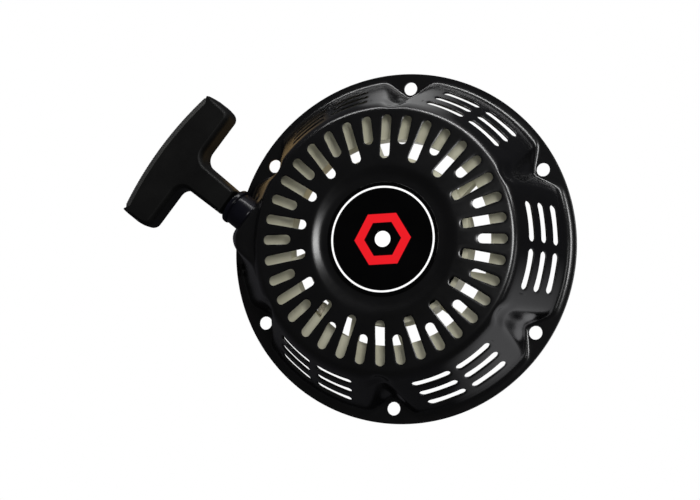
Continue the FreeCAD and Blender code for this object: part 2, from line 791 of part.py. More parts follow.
def grip_outline(sketch):
    stem = size("stem_half_width")
    inner, outer = size("handle_bar_inner_x"), size("handle_bar_outer_x")
    start, bulge = size("handle_start_x"), size("handle_bulge_x")
    draw_outline(sketch, [
        (start, -stem),
        (start, stem),
        (inner + 7, stem + 0.9),
        (inner, stem + 7.5, (inner.value + 2.1, stem.value + 2.9)),
        (inner, half_bar - 3.5),
        (inner - 3.2, half_bar, (inner.value - 1.0, half_bar.value - 1.0)),
        (outer + 1, half_bar),
        (outer + 1, -half_bar, (bulge.value, 0)),
        (inner - 3.2, -half_bar),
        (inner, -half_bar + 3.5, (inner.value - 1.0, -half_bar.value + 1.0)),
        (inner, -stem - 7.5),
        (inner + 7, -stem - 0.9, (inner.value + 2.1, -stem.value - 2.9)),
    ])


grip = new_body("GripBlank")
pad(grip, "GripPad", grip_outline, size("handle_thickness"), at(z=-num("handle_thickness") / 2))
grip.Placement = Placement(HANDLE_CENTRE, Rotation())


def curved_strip(name, depth, long, tall):
    """Strip that follows the bar's curved outer edge, as deep, long and tall as asked."""
    strip = new_body(name)

    def outline(sketch):
        outer, bulge = num("handle_bar_outer_x") + 1, num("handle_bulge_x")
        half = long / 2
        chord = num("handle_bar_length") / 2
        curve = (chord ** 2 + (outer - bulge) ** 2) / (2 * (outer - bulge))
        end_x = bulge + curve - math.sqrt(curve ** 2 - half ** 2)
        draw_outline(sketch, [
            (end_x, half),
            (end_x, -half, (bulge, 0)),
            (end_x + depth, -half),
            (end_x + depth, half, (bulge + depth, 0)),
        ])
    pad(strip, name + "Pad", outline, tall, at(z=-tall / 2))
    strip.Placement = Placement(HANDLE_CENTRE, Rotation())
    return strip


cover_gap = curved_strip("CoverRecess", 3.0, 76.0, 11.0)
along = Vector(-1, 0, 0)
grip_bore = cylinder("GripBore", size("rope_radius") + 0.6, 60,
                     Placement(Vector(-85, HANDLE_CENTRE.y, rope_z), Rotation(Vector(0, 0, 1), along)))
knot_room = cylinder("KnotRoom", 6.5, 24,
                     Placement(Vector(-130, HANDLE_CENTRE.y, rope_z), Rotation(Vector(0, 0, 1), along)))
handle_grip = cut("handle_grip", grip, cover_gap, grip_bore, knot_room)
keep(handle_grip)
handle_cover = curved_strip("handle_cover", 3.0, 75.6, 10.6)
keep(handle_cover)

plate_blank = new_body("rope_plate")
revolve(plate_blank, "PlateTurn", [
    (size("rope_radius") + 0.3, 0),
    (6.4, 0),
    (6.4, 1.5),
    (size("rope_radius") + 0.3, 1.5),
])
plate_blank.Placement = Placement(Vector(-130, HANDLE_CENTRE.y, rope_z), Rotation(Vector(0, 0, 1), along))
keep(plate_blank)

ROPE_TIP_X = -136.5
rope_points = [
    Vector(ROPE_TIP_X, num("rope_line_y"), rope_z),
    guide_corner + lift,
    touch + lift,
]
rope_run = plain_solid("rope_run", wire_tube(rope_points, num("rope_radius"), 13.0))
keep(rope_run)
knot_centre = Vector(ROPE_TIP_X, num("rope_line_y"), rope_z)
handle_knot = plain_solid("handle_knot", Part.makeSphere(4.6, knot_centre).cut(rope_run.Shape))
keep(handle_knot)

# ---------------------------------------------------------------- check and write
doc.recompute()
failed = [thing.Name for thing in doc.Objects if "Invalid" in thing.State or "Error" in thing.State]
if failed:
    raise RuntimeError("these objects failed: " + ", ".join(failed))
os.makedirs("parts", exist_ok=True)
for thing in SUBPARTS:
    if thing.Shape.isNull() or not thing.Shape.isValid():
        raise RuntimeError("bad shape: " + thing.Label)
    thing.Shape.exportStep(f"parts/{thing.Label}.step")
    print(f"{thing.Label:18s} {len(thing.Shape.Solids)} solid(s) {thing.Shape.Volume:10.1f} mm3")
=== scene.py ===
from math import cos, pi, radians, sin

import bmesh
import bpy
import numpy as np
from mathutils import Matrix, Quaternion, Vector


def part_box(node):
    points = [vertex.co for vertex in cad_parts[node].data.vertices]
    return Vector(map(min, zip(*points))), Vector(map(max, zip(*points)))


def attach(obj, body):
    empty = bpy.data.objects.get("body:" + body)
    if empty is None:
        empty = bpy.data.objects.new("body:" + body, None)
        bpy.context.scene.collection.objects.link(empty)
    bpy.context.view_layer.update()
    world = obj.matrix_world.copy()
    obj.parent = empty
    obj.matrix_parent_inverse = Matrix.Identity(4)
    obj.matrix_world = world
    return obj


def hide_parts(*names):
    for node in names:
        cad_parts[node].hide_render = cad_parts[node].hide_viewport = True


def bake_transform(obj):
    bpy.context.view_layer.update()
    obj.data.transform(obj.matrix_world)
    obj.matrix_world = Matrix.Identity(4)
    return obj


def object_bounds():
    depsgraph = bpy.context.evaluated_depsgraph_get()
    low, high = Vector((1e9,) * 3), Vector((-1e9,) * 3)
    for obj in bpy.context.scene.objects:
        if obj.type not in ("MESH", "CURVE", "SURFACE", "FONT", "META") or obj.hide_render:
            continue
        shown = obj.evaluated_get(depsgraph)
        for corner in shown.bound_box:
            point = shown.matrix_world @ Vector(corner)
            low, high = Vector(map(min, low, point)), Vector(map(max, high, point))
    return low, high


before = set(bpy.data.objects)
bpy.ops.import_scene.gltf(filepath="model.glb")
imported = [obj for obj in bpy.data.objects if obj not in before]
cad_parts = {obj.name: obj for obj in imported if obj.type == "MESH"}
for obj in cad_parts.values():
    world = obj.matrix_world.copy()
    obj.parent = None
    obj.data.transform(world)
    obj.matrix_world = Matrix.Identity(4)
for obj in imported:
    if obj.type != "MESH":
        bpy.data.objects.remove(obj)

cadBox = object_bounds()
mm = 0.001               # sizes in the dictionaries are millimetres
print("frame loaded:", len(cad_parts), "nodes")


# small tools for meshes

def smoothAlong(values, sigma, axis, wrap=False):
    # running average with bell-shaped weights; an open end goes on in a straight line
    reach = int(np.ceil(3 * sigma))
    weights = np.exp(-0.5 * (np.arange(-reach, reach + 1) / sigma) ** 2)
    weights /= weights.sum()
    moved = np.moveaxis(values, axis, 0)
    if wrap:
        padded = np.concatenate([moved[-reach:], moved, moved[:reach]])
    else:
        before = 2 * moved[:1] - moved[reach:0:-1]
        after = 2 * moved[-1:] - moved[-2:-reach - 2:-1]
        padded = np.concatenate([before, moved, after])
    count = len(moved)
    total = sum(weight * padded[i:i + count] for i, weight in enumerate(weights))
    return np.moveaxis(total, 0, axis)


def gridFaces(shape, closed=False):
    # four corners of each cell of a grid of points, numbered row by row
    around, along = shape
    index = np.arange(around * along).reshape(around, along)
    if closed:
        index = np.vstack([index, index[:1]])
    return np.stack([index[:-1, :-1], index[1:, :-1], index[1:, 1:], index[:-1, 1:]], -1).reshape(-1, 4)


def linkObject(name, data):
    thing = bpy.data.objects.new(name, data)
    bpy.context.scene.collection.objects.link(thing)
    return thing


def turnOutwards(mesh, outside=None):
    # outside is a direction: the face that lies furthest that way has to look that way
    work = bmesh.new()
    work.from_mesh(mesh)
    bmesh.ops.recalc_face_normals(work, faces=work.faces)
    if outside is not None:
        work.faces.ensure_lookup_table()
        probe = max(work.faces, key=lambda f: f.calc_center_median().dot(Vector(outside)))
        if probe.normal.dot(Vector(outside)) < 0:
            bmesh.ops.reverse_faces(work, faces=work.faces)
    work.to_mesh(mesh)
    work.free()
    mesh.shade_smooth()


def buildPiece(name, blocks, caps=(), outside=None):
    # blocks are (points, closed) grids in millimetres; points that meet become one, and
    # faces are turned outwards. caps are rings of points that are closed with one face.
    points, faces, start = [], [], 0
    for grid, closed in blocks:
        flat = grid.reshape(-1, 3)
        points.append(flat)
        faces.append(gridFaces(grid.shape[:2], closed) + start)
        start += len(flat)
    points, faces = np.concatenate(points), np.concatenate(faces)
    ringFaces = []
    for ring in caps:
        ringFaces.append(np.arange(start, start + len(ring)))
        points = np.concatenate([points, ring])
        start += len(ring)
    keys = np.round(points * 1e4).astype(np.int64)
    _, first, index = np.unique(keys, axis=0, return_index=True, return_inverse=True)
    index = index.reshape(-1)
    faceList = [list(dict.fromkeys(f)) for f in index[faces].tolist()]
    faceList += [list(dict.fromkeys(index[ring].tolist())) for ring in ringFaces]
    faceList = [f for f in faceList if len(f) > 2]
    mesh = bpy.data.meshes.new(name)
    mesh.from_pydata((points[first] * mm).tolist(), [], faceList)
    turnOutwards(mesh, outside)
    return linkObject(name, mesh)


def finishPiece(piece, body, material, node):
    piece.data.materials.append(material)
    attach(piece, body)
    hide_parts(node)


def addModifier(piece, kind, **values):
    modifier = piece.modifiers.new(kind.title(), kind)
    for key, value in values.items():
        setattr(modifier, key, value)


# node groups that several materials share

def newGroup(name, inputs, outputs):
    group = bpy.data.node_groups.new(name, "ShaderNodeTree")
    for label, kind, default in inputs:
        socket = group.interface.new_socket(label, in_out="INPUT", socket_type=kind)
        if default is not None:
            socket.default_value = default
    for label, kind in outputs:
        group.interface.new_socket(label, in_out="OUTPUT", socket_type=kind)
    start = group.nodes.new("NodeGroupInput")
    end = group.nodes.new("NodeGroupOutput")
    return group, start, end


def feed(tree, socket, source):
    # a socket is linked, a plain value is set
    if isinstance(source, bpy.types.NodeSocket):
        tree.links.new(source, socket)
    else:
        socket.default_value = source


def addNode(tree, kind, links=None, **values):
    # one node; links gives what feeds each input
    node = tree.nodes.new(kind)
    for key, value in values.items():
        setattr(node, key, value)
    for key, source in (links or {}).items():
        feed(tree, node.inputs[key], source)
    return node


def mathNode(tree, operation, *sources):
    node = addNode(tree, "ShaderNodeMath", operation=operation)
    for socket, source in zip(node.inputs, sources):
        feed(tree, socket, source)
    return node.outputs[0]


def mapRange(tree, value, low, high, toLow=0.0, toHigh=1.0):
    node = addNode(tree, "ShaderNodeMapRange", {
        "Value": value, "From Min": low, "From Max": high, "To Min": toLow, "To Max": toHigh})
    return node.outputs["Result"]


def mixColour(tree, factor, base, over, **values):
    node = addNode(tree, "ShaderNodeMix", {"Factor": factor}, data_type="RGBA", **values)
    for key, source in (("A", base), ("B", over)):
        feed(tree, node.inputs[key], (*source, 1) if isinstance(source, tuple) else source)
    return node.outputs["Result"]


def makeUnevenGroup():
    # slow drift and a fine speckle, for colour and gloss that are never quite even
    group, start, end = newGroup("uneven", [
        ("Vector", "NodeSocketVector", None), ("Size", "NodeSocketFloat", 40.0),
        ("Fine", "NodeSocketFloat", 900.0)],
        [("Drift", "NodeSocketFloat"), ("Speckle", "NodeSocketFloat")])
    drift = addNode(group, "ShaderNodeTexNoise", {
        "Vector": start.outputs["Vector"], "Scale": start.outputs["Size"], "Detail": 3.0, "Roughness": 0.55})
    speckle = addNode(group, "ShaderNodeTexNoise", {
        "Vector": start.outputs["Vector"], "Scale": start.outputs["Fine"], "Detail": 2.0, "Roughness": 0.5})
    group.links.new(mapRange(group, drift.outputs["Fac"], 0.3, 0.7), end.inputs["Drift"])
    group.links.new(mapRange(group, speckle.outputs["Fac"], 0.3, 0.7), end.inputs["Speckle"])
    return group


unevenGroup = makeUnevenGroup()


def newMaterial(name, **values):
    # a Principled material; values go on the shader's own sockets
    material = bpy.data.materials.new(name)
    material.use_nodes = True
    shader = material.node_tree.nodes["Principled BSDF"]
    for label, value in values.items():
        shader.inputs[label].default_value = value
    place = addNode(material.node_tree, "ShaderNodeTexCoord").outputs["Object"]
    return material, material.node_tree, shader, place


def addUneven(tree, place, size, fine):
    node = addNode(tree, "ShaderNodeGroup", {"Vector": place, "Size": size, "Fine": fine},
                   node_tree=unevenGroup)
    return node.outputs["Drift"], node.outputs["Speckle"]


def addBump(tree, shader, height, distance):
    bump = addNode(tree, "ShaderNodeBump", {"Height": height, "Strength": 1.0, "Distance": distance * mm})
    tree.links.new(bump.outputs["Normal"], shader.inputs["Normal"])


def surfaceMaterial(name, darkColour, lightColour, roughLow, roughHigh, driftSize, fineSize,
                    bumpHeight, **values):
    # colour runs between two shades with the drift, gloss with drift and speckle together, and
    # the speckle is also the height of the fine texture
    material, tree, shader, place = newMaterial(name, **values)
    drift, speckle = addUneven(tree, place, driftSize, fineSize)
    tree.links.new(mixColour(tree, drift, darkColour, lightColour), shader.inputs["Base Color"])
    blend = mathNode(tree, "ADD", mathNode(tree, "MULTIPLY", drift, 0.6),
                     mathNode(tree, "MULTIPLY", speckle, 0.4))
    tree.links.new(mapRange(tree, blend, 0.0, 1.0, roughLow, roughHigh), shader.inputs["Roughness"])
    addBump(tree, shader, speckle, bumpHeight)
    return material


def makeBraidGroup():
    # two sets of strands wound opposite ways, each passing over and under the other:
    # height = |sin(turn + run)| or |sin(turn - run)|, changing over with sin(2 run)
    group, start, end = newGroup("braid", [
        ("Around", "NodeSocketFloat", 0.0), ("Along", "NodeSocketFloat", 0.0),
        ("Strands", "NodeSocketFloat", 8.0), ("Lay", "NodeSocketFloat", 1.0)],
        [("Height", "NodeSocketFloat"), ("GapShade", "NodeSocketFloat")])
    turn = mathNode(group, "MULTIPLY", start.outputs["Around"], start.outputs["Strands"])
    run = mathNode(group, "MULTIPLY", start.outputs["Along"], start.outputs["Lay"])
    right = mathNode(group, "ABSOLUTE", mathNode(group, "SINE", mathNode(group, "ADD", turn, run)))
    left = mathNode(group, "ABSOLUTE", mathNode(group, "SINE", mathNode(group, "SUBTRACT", turn, run)))
    over = mapRange(group, mathNode(group, "SINE", mathNode(group, "MULTIPLY", run, 2.0)), -0.4, 0.4)
    height = addNode(group, "ShaderNodeMix", {"Factor": over, "A": right, "B": left}, data_type="FLOAT")
    group.links.new(height.outputs["Result"], end.inputs["Height"])
    # painted shade: a second output that rises where the strands sink between each other, used to darken the
    # colour there
    group.links.new(mapRange(group, height.outputs["Result"], 0.35, 0.0), end.inputs["GapShade"])
    return group


braidGroup = makeBraidGroup()


def ropeMaterial(name, around, along):
    # off-white nylon braid; around and along give the place on the cord, in radians and in
    # millimetres, made by the two given functions of the tree
    material, tree, shader, place = newMaterial(name, Roughness=0.72)
    braid = addNode(tree, "ShaderNodeGroup", node_tree=braidGroup)
    tree.links.new(around(tree, place), braid.inputs["Around"])
    tree.links.new(along(tree, place), braid.inputs["Along"])
    braid.inputs["Strands"].default_value = 4.0
    braid.inputs["Lay"].default_value = 1.3
    drift, speckle = addUneven(tree, place, 90.0, 2600.0)
    yarn = mixColour(tree, drift, (0.62, 0.57, 0.43), (0.76, 0.72, 0.59))
    # painted shade: the yarn is darkened towards deep brown in the low places between the strands
    gap = mathNode(tree, "MULTIPLY", braid.outputs["GapShade"], 0.75)
    tree.links.new(mixColour(tree, gap, yarn, (0.16, 0.13, 0.08)), shader.inputs["Base Color"])
    addBump(tree, shader, mathNode(tree, "ADD", braid.outputs["Height"],
                                   mathNode(tree, "MULTIPLY", speckle, 0.25)), 0.25)
    return material


ropeLine = {"y": -40.5, "z": 24.0, "radius": 2.0}


def straightAround(tree, place):
    # angle about the straight part of the rope
    split = addNode(tree, "ShaderNodeSeparateXYZ", {"Vector": place})
    return mathNode(tree, "ARCTAN2",
                    mathNode(tree, "SUBTRACT", split.outputs["Z"], ropeLine["z"] * mm),
                    mathNode(tree, "SUBTRACT", split.outputs["Y"], ropeLine["y"] * mm))


def straightAlong(tree, place):
    # millimetres along the straight part
    split = addNode(tree, "ShaderNodeSeparateXYZ", {"Vector": place})
    return mathNode(tree, "MULTIPLY", split.outputs["X"], 1 / mm)


def splitMap(tree):
    # the piece's own map: once round the cord, and millimetres along it
    return addNode(tree, "ShaderNodeSeparateXYZ", {
        "Vector": addNode(tree, "ShaderNodeUVMap", uv_map="braidMap").outputs["UV"]})


def mapAround(tree, place):
    return mathNode(tree, "MULTIPLY", splitMap(tree).outputs["X"], 2 * pi)


def mapAlong(tree, place):
    return splitMap(tree).outputs["Y"]


badge = {
    "radius": 33.0,
    "ring": (29.55, 30.6),        # inner and outer radius of the printed ring
    "hexagon": (9.5, 14.5),       # distance from the middle to the inner and outer flats
    "spot": 4.6,
    "turn": 10.0,                 # degrees that the hexagon is turned
}


def makeBadgeFilm():
    # printed film: black, with a white ring, a red hexagon and a white spot, each worked out
    # from the distance to the middle
    material, tree, shader, place = newMaterial("badgeFilm", **{"Specular IOR Level": 0.12})
    split = addNode(tree, "ShaderNodeSeparateXYZ", {"Vector": place})
    x, y = (mathNode(tree, "MULTIPLY", split.outputs[axis], 1 / mm) for axis in "XY")
    radius = mathNode(tree, "SQRT", mathNode(
        tree, "ADD", mathNode(tree, "MULTIPLY", x, x), mathNode(tree, "MULTIPLY", y, y)))
    flats = []
    for k in range(3):
        turn = radians(badge["turn"] + 60 * k)
        flats.append(mathNode(tree, "ABSOLUTE", mathNode(
            tree, "ADD", mathNode(tree, "MULTIPLY", x, cos(turn)),
            mathNode(tree, "MULTIPLY", y, sin(turn)))))
    hexagon = mathNode(tree, "MAXIMUM", mathNode(tree, "MAXIMUM", flats[0], flats[1]), flats[2])

    def band(distance, low, high, blur=0.09):
        return mathNode(tree, "MULTIPLY", mapRange(tree, distance, low - blur, low + blur),
                        mapRange(tree, distance, high + blur, high - blur))

    white = mathNode(tree, "MAXIMUM", band(radius, *badge["ring"]), band(radius, -1.0, badge["spot"]))
    red = band(hexagon, *badge["hexagon"])
    drift, speckle = addUneven(tree, place, 60.0, 1500.0)
    colour = mixColour(tree, drift, (0.0006, 0.0006, 0.0007), (0.001, 0.001, 0.0011))
    for mask, ink in ((red, (0.7, 0.01, 0.016)), (white, (0.98, 0.98, 0.98))):
        colour = mixColour(tree, mask, colour, ink)
    tree.links.new(colour, shader.inputs["Base Color"])
    tree.links.new(mapRange(tree, speckle, 0, 1, 0.12, 0.16), shader.inputs["Roughness"])
    addBump(tree, shader, mathNode(tree, "ADD", mathNode(tree, "MAXIMUM", white, red),
                                   mathNode(tree, "MULTIPLY", speckle, 0.1)), 0.01)
    return material


casePaint = surfaceMaterial("casePaint", (0.0016, 0.0016, 0.0018), (0.0026, 0.0026, 0.003),
                            0.2, 0.26, 30, 260, 0.0012)
gripPlastic = surfaceMaterial("gripPlastic", (0.0022, 0.0022, 0.0022), (0.0036, 0.0036, 0.0035),
                              0.42, 0.54, 45, 1500, 0.012, **{"Specular IOR Level": 0.12})
coverPlastic = surfaceMaterial("coverPlastic", (0.022, 0.022, 0.022), (0.034, 0.034, 0.032),
                               0.32, 0.44, 60, 1500, 0.01, **{"Specular IOR Level": 0.25})
guidePlastic = surfaceMaterial("guidePlastic", (0.002, 0.002, 0.0035), (0.0035, 0.0035, 0.006),
                               0.2, 0.28, 60, 1200, 0.004, **{"Specular IOR Level": 0.16})
reelNylon = surfaceMaterial("reelNylon", (0.62, 0.60, 0.44), (0.74, 0.72, 0.56),
                            0.38, 0.5, 50, 1200, 0.01)
zincSteel = surfaceMaterial("zincSteel", (0.5, 0.5, 0.48), (0.64, 0.64, 0.62),
                            0.28, 0.42, 120, 2000, 0.008, Metallic=1.0)
ratchetSteel = surfaceMaterial("ratchetSteel", (0.3, 0.29, 0.28), (0.42, 0.41, 0.4),
                               0.32, 0.5, 150, 1800, 0.012, Metallic=1.0)
guidePlateSteel = surfaceMaterial("guidePlateSteel", (0.5, 0.42, 0.24), (0.62, 0.56, 0.38),
                                  0.28, 0.42, 80, 2200, 0.008, Metallic=1.0)
springSteel = surfaceMaterial("springSteel", (0.12, 0.13, 0.16), (0.2, 0.21, 0.24),
                              0.26, 0.4, 150, 2000, 0.006, Metallic=1.0)
ropeCloth = ropeMaterial("ropeCloth", straightAround, straightAlong)
coilCloth = ropeMaterial("coilCloth", mapAround, mapAlong)
badgeFilm = makeBadgeFilm()

for nodeName, material in {
    "reel": reelNylon, "recoil_spring": springSteel, "friction_spring": springSteel,
    "ratchet_spring_a": springSteel, "ratchet_spring_b": springSteel, "ratchet_a": ratchetSteel,
    "ratchet_b": ratchetSteel, "ratchet_guide": guidePlateSteel, "centre_post": zincSteel,
    "centre_screw": zincSteel, "rope_plate": zincSteel,
}.items():
    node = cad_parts[nodeName]
    node.data.materials.clear()
    node.data.materials.append(material)
print("materials made")


# pressed steel case: one curved sheet with slots, folded down to a flange

case = {
    "sheet": 1.6,
    "solid": 1.35,                # the sheet where it has been drawn out
    "flangeRadius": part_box("housing")[1].x / mm,
    "flangeEdge": 1.0,            # last ring of the flange, beside its rounded edge
    "coneFoot": 99.9,             # the wall's radius at height 0
    "coneLean": 0.5233,           # how much the wall comes in per millimetre of height
    "wallTop": 36.9,
    "wallBottom": 4.8,
    "footReach": 3.4,
    "footAtBolt": 1.4,            # how much shorter the foot's curve is beside a bolt hole
    "rimRadius": 77.8,
    "rimHeight": 41.8,
    "rimStart": 74.7,
    "rimReach": 12.2,             # how far the face's cone is carried on past the rim for the average
    "faceLean": 0.12,             # and how much it falls there per millimetre
    "crownRadius": 43.0,
    "crownHeight": 46.0,
    "dishRadius": 37.0,
    "dishHeight": 43.8,
    "faceSlots": 36,              # long and short in turn
    "faceSlotAngle": 7.0,
    "faceSlotEnds": (46.5, 55.5, 72.5),      # inner end of a long one, of a short one, and the outer end
    "faceSlotWidth": 5.5,
    "faceCellStart": 44.5,
    "wallSlot": (23.5, 4.5),      # length and width
    "wallSlotSpread": (9.5, 9.2, 8.6),       # degrees from the lobe's middle, from the top row down
    "wallSlotTop": 30.4,
    "wallRowTop": 35.2,
    "wallRowPitch": 9.65,
    "wallSlant": 1.13,            # length along the wall per millimetre of height
    "wallFacing": (0.886, 0.464),            # outward and upward parts of the wall's direction
    "punchDip": 0.2,              # how far the sheet was pulled down at a slot's edge
    "columns": 360,
    "firstColumn": 0.4,           # angle of the first column of points
    "boltAngle": 5.4,
    "boltRadius": 95.0,
    "boltHole": 4.0,
    "boltCell": 7,                # degrees to each side of a bolt hole that its rings fill
    "lobes": 6,
    "ropeLobe": 3,
    # depth at the foot, depth under the rim, and the two heights of its round end
    "scoopDepth": (10.9, 3.2, 33.0, 40.0),
    "scoopFall": 0.258,           # how much less deep it is per millimetre of height
    "scoopSlope": 0.75,           # how steeply a scoop's two sides open outwards
    "scoopBlunt": (2.0, 3.6),     # roundness of the scoop's floor, at the foot and at the top
    "scoopSoft": (2.4, 1.5),      # roundness of its ridges, at the foot and at the top
}


def faceHeight(radius):
    # straight runs from dish to crown to rim, with their corners averaged round
    line = np.linspace(0.0, 90.0, 1801)
    runs = np.interp(line, [0, case["dishRadius"], case["crownRadius"], case["rimRadius"] + case["rimReach"]],
                     [case["dishHeight"], case["dishHeight"], case["crownHeight"],
                      case["rimHeight"] - case["rimReach"] * case["faceLean"]])
    return np.interp(radius, line, smoothAlong(runs, 18.0, 0))


def scoopedRadius(angle, height):
    # the cone's radius, or the rounded V's where that is smaller: tip + sqrt((slope y)^2 + t^2) - t
    # for y across the scoop, with the crossing of the two rounded off
    cone = case["coneFoot"] - case["coneLean"] * height
    pitch = 360.0 / case["lobes"]
    swing = np.radians((angle - case["boltAngle"] + pitch / 2) % pitch - pitch / 2)
    share = np.clip(height / case["wallTop"], 0, 1)
    blunt = case["scoopBlunt"][0] + (case["scoopBlunt"][1] - case["scoopBlunt"][0]) * share ** 2
    # depth falls in a straight line, stays even, and ends in a quarter ellipse under the rim
    first, even, roundStart, roundEnd = case["scoopDepth"]
    depth = np.maximum(first - case["scoopFall"] * height, even)
    into = np.clip((height - roundStart) / (roundEnd - roundStart), 0, 0.999)
    depth = depth * np.sqrt(1 - into ** 2)
    tip = cone - depth
    across = cone * np.sin(swing)
    vee = (tip + np.sqrt((case["scoopSlope"] * across) ** 2 + blunt ** 2) - blunt) / np.cos(swing)
    soft = case["scoopSoft"][0] + (case["scoopSoft"][1] - case["scoopSoft"][0]) * share
    mix = np.clip(0.5 + 0.5 * (vee - cone) / soft, 0, 1)
    return vee * (1 - mix) + cone * mix - soft * mix * (1 - mix)


outlet = {
    "faceX": -82.4,
    "height": 36.5,
    "cornerRadius": 98.6,
    "angles": (197.4, 214.0, 229.0),         # start of the flat end, start and end of the wall's lean
    "flatUntil": 225.0,
    "outside": 70.0,              # a radius well inside the cone, where there is no outlet
    "lean": 0.06,                 # lean of the wall where the outlet is fullest
    "slopeStart": 25.0,           # height from which the flat end and the corner lean back
    "slope": 0.6,
    "middle": 214.0,
    "halfSpan": 24.0,             # degrees to each side of the middle where the table is averaged
    "soft": 2.0,                  # roundness where the outlet meets the wall
    "seatSide": (-52.7, -28.3),   # the guide's flat seat, across the rope
    "seatFloor": 12.4,
}


def outletRadius(angle, height):
    # the smallest of three: the flat end, the wall on a lean that grows from the outlet's own to
    # the cone's by a smooth step of the angle, and the corner, which leans back near the top
    first, leanStart, leanEnd = outlet["angles"]
    share = np.clip((angle - leanStart) / (leanEnd - leanStart), 0, 1)
    share = share * share * (3 - 2 * share)
    lean = outlet["lean"] + (case["coneLean"] - outlet["lean"]) * share
    back = outlet["slope"] * np.clip(height - outlet["slopeStart"], 0, None)
    wall = case["coneFoot"] - lean * height
    corner = outlet["cornerRadius"] - back
    last = outlet["flatUntil"]
    flat = np.where(angle < last, outlet["faceX"] / np.cos(np.radians(np.minimum(angle, last))), 200.0) - back
    radius = np.minimum(np.minimum(wall, corner), flat)
    return np.where((angle < first) | (angle > leanEnd + 4), outlet["outside"], radius)


def wallTable(columns=1440, rows=240):
    # the wall's path down each column: cone, then the outlet's shelf and end where it has one; the
    # path is then read at even steps of its own length
    shelfRows = 40
    angle = np.arange(columns) * 360.0 / columns
    top, bottom = case["wallTop"], case["wallBottom"]
    column = angle[:, None]
    upper = np.linspace(top, outlet["height"], 16)[None, :]
    lower = np.linspace(outlet["height"], bottom, 200)[None, :]
    shelfStart = scoopedRadius(column, np.full((1, 1), outlet["height"]))
    lowerRadius = scoopedRadius(column, lower)
    bulge = smoothAlong(outletRadius(column, lower), 4.0, 0, wrap=True)
    soft = outlet["soft"]
    proud = np.clip(0.5 + 0.5 * (bulge - lowerRadius) / soft, 0, 1)
    lowerRadius = lowerRadius * (1 - proud) + bulge * proud + soft * proud * (1 - proud)
    seatEnd = outlet["faceX"] / np.cos(np.radians(column))
    across = seatEnd * np.sin(np.radians(column))
    low, high = outlet["seatSide"]
    seated = (column > 180) & (column < 240) & (across > low) & (across < high)
    seated = seated & (lower > outlet["seatFloor"])
    lowerRadius = np.where(seated, np.minimum(lowerRadius, seatEnd), lowerRadius)
    shelfEnd = lowerRadius[:, :1]
    shelf = shelfStart + (shelfEnd - shelfStart) * np.linspace(0, 1, shelfRows)[None, :]
    radius = np.concatenate([scoopedRadius(column, upper)[:, :-1], shelf, lowerRadius[:, 1:]], 1)
    height = np.concatenate([upper[0, :-1], np.full(shelfRows, outlet["height"]), lower[0, 1:]])
    height = np.broadcast_to(height, radius.shape)
    step = np.hypot(np.diff(radius, axis=1), np.diff(height, axis=1))
    travel = np.concatenate([np.zeros((columns, 1)), np.cumsum(step, 1)], 1)
    evenly = np.linspace(0, 1, rows)
    radius = np.array([np.interp(evenly * t[-1], t, r) for t, r in zip(travel, radius)])
    height = np.array([np.interp(evenly * t[-1], t, h) for t, h in zip(travel, height)])
    inOutlet = (np.abs(angle - outlet["middle"]) < outlet["halfSpan"])[:, None]

    def averaged(table):
        return np.where(inOutlet, smoothAlong(smoothAlong(table, 6.0, 1), 3.0, 0, wrap=True), table)
    return averaged(radius), averaged(height)


wallRadii, wallHeights = wallTable()


def wallPoint(angle, share):
    # the table read in straight lines between its columns and rows
    columns, rows = wallRadii.shape
    column, row = (angle % 360.0) / 360.0 * columns, np.clip(share, 0, 1) * (rows - 1)
    left, upper = np.floor(column).astype(int), np.minimum(np.floor(row).astype(int), rows - 2)
    past, below = column - left, row - upper
    left, right = left % columns, (left + 1) % columns

    def read(table):
        near = table[left, upper] * (1 - below) + table[left, upper + 1] * below
        far = table[right, upper] * (1 - below) + table[right, upper + 1] * below
        return near * (1 - past) + far * past
    return read(wallRadii), read(wallHeights)


def toSpace(angle, radius, height):
    # x = r cos a, y = r sin a, z = height
    turn = np.radians(angle)
    return np.stack([radius * np.cos(turn), radius * np.sin(turn), height + 0 * turn], -1)


def shareAt(height):
    # the share of the way down the wall at a height
    return (case["wallTop"] - height) / (case["wallTop"] - case["wallBottom"])


def bend(start, corner, end, share):
    # quadratic curve from start to end, pulled towards the corner
    return start * (1 - share) ** 2 + 2 * corner * share * (1 - share) + end * share ** 2


def faceMap(angle, radius):
    return toSpace(angle, radius, faceHeight(radius))


def rimMap(angle, share):
    # from the face round to the top of the wall, on one bend
    endRadius, endHeight = wallPoint(angle, np.zeros_like(angle))
    startHeight = faceHeight(np.array([case["rimStart"]]))[0]
    return toSpace(angle, bend(case["rimStart"], case["rimRadius"], endRadius, share),
                   bend(startHeight, case["rimHeight"], endHeight, share))


def wallMap(angle, share):
    return toSpace(angle, *wallPoint(angle, share))


def footCorner(angle):
    # where the wall's line would meet the top of the flange, and how far the curve reaches past it
    nearRadius, nearHeight = wallPoint(angle, np.ones_like(angle))
    farRadius, farHeight = wallPoint(angle, np.full_like(angle, 0.95))
    lean = (farRadius - nearRadius) / (farHeight - nearHeight)
    pitch = 360.0 / case["lobes"]
    swing = (angle - case["boltAngle"] + pitch / 2) % pitch - pitch / 2
    reach = case["footReach"] - case["footAtBolt"] * np.exp(-(swing / 4.0) ** 2)
    return nearRadius, nearHeight, nearRadius - lean * (nearHeight - case["sheet"]), reach


def footMap(angle, share):
    # from the wall's foot out to the flange, on one bend
    startRadius, startHeight, corner, reach = footCorner(angle)
    return toSpace(angle, bend(startRadius, corner, corner + reach, share),
                   bend(startHeight, case["sheet"], case["sheet"], share))


def flangeMap(angle, share):
    # flat, from the foot's end to the last ring
    _, _, corner, reach = footCorner(angle)
    inner = corner + reach
    outer = case["flangeRadius"] - case["flangeEdge"]
    return toSpace(angle, inner + (outer - inner) * share, case["sheet"])


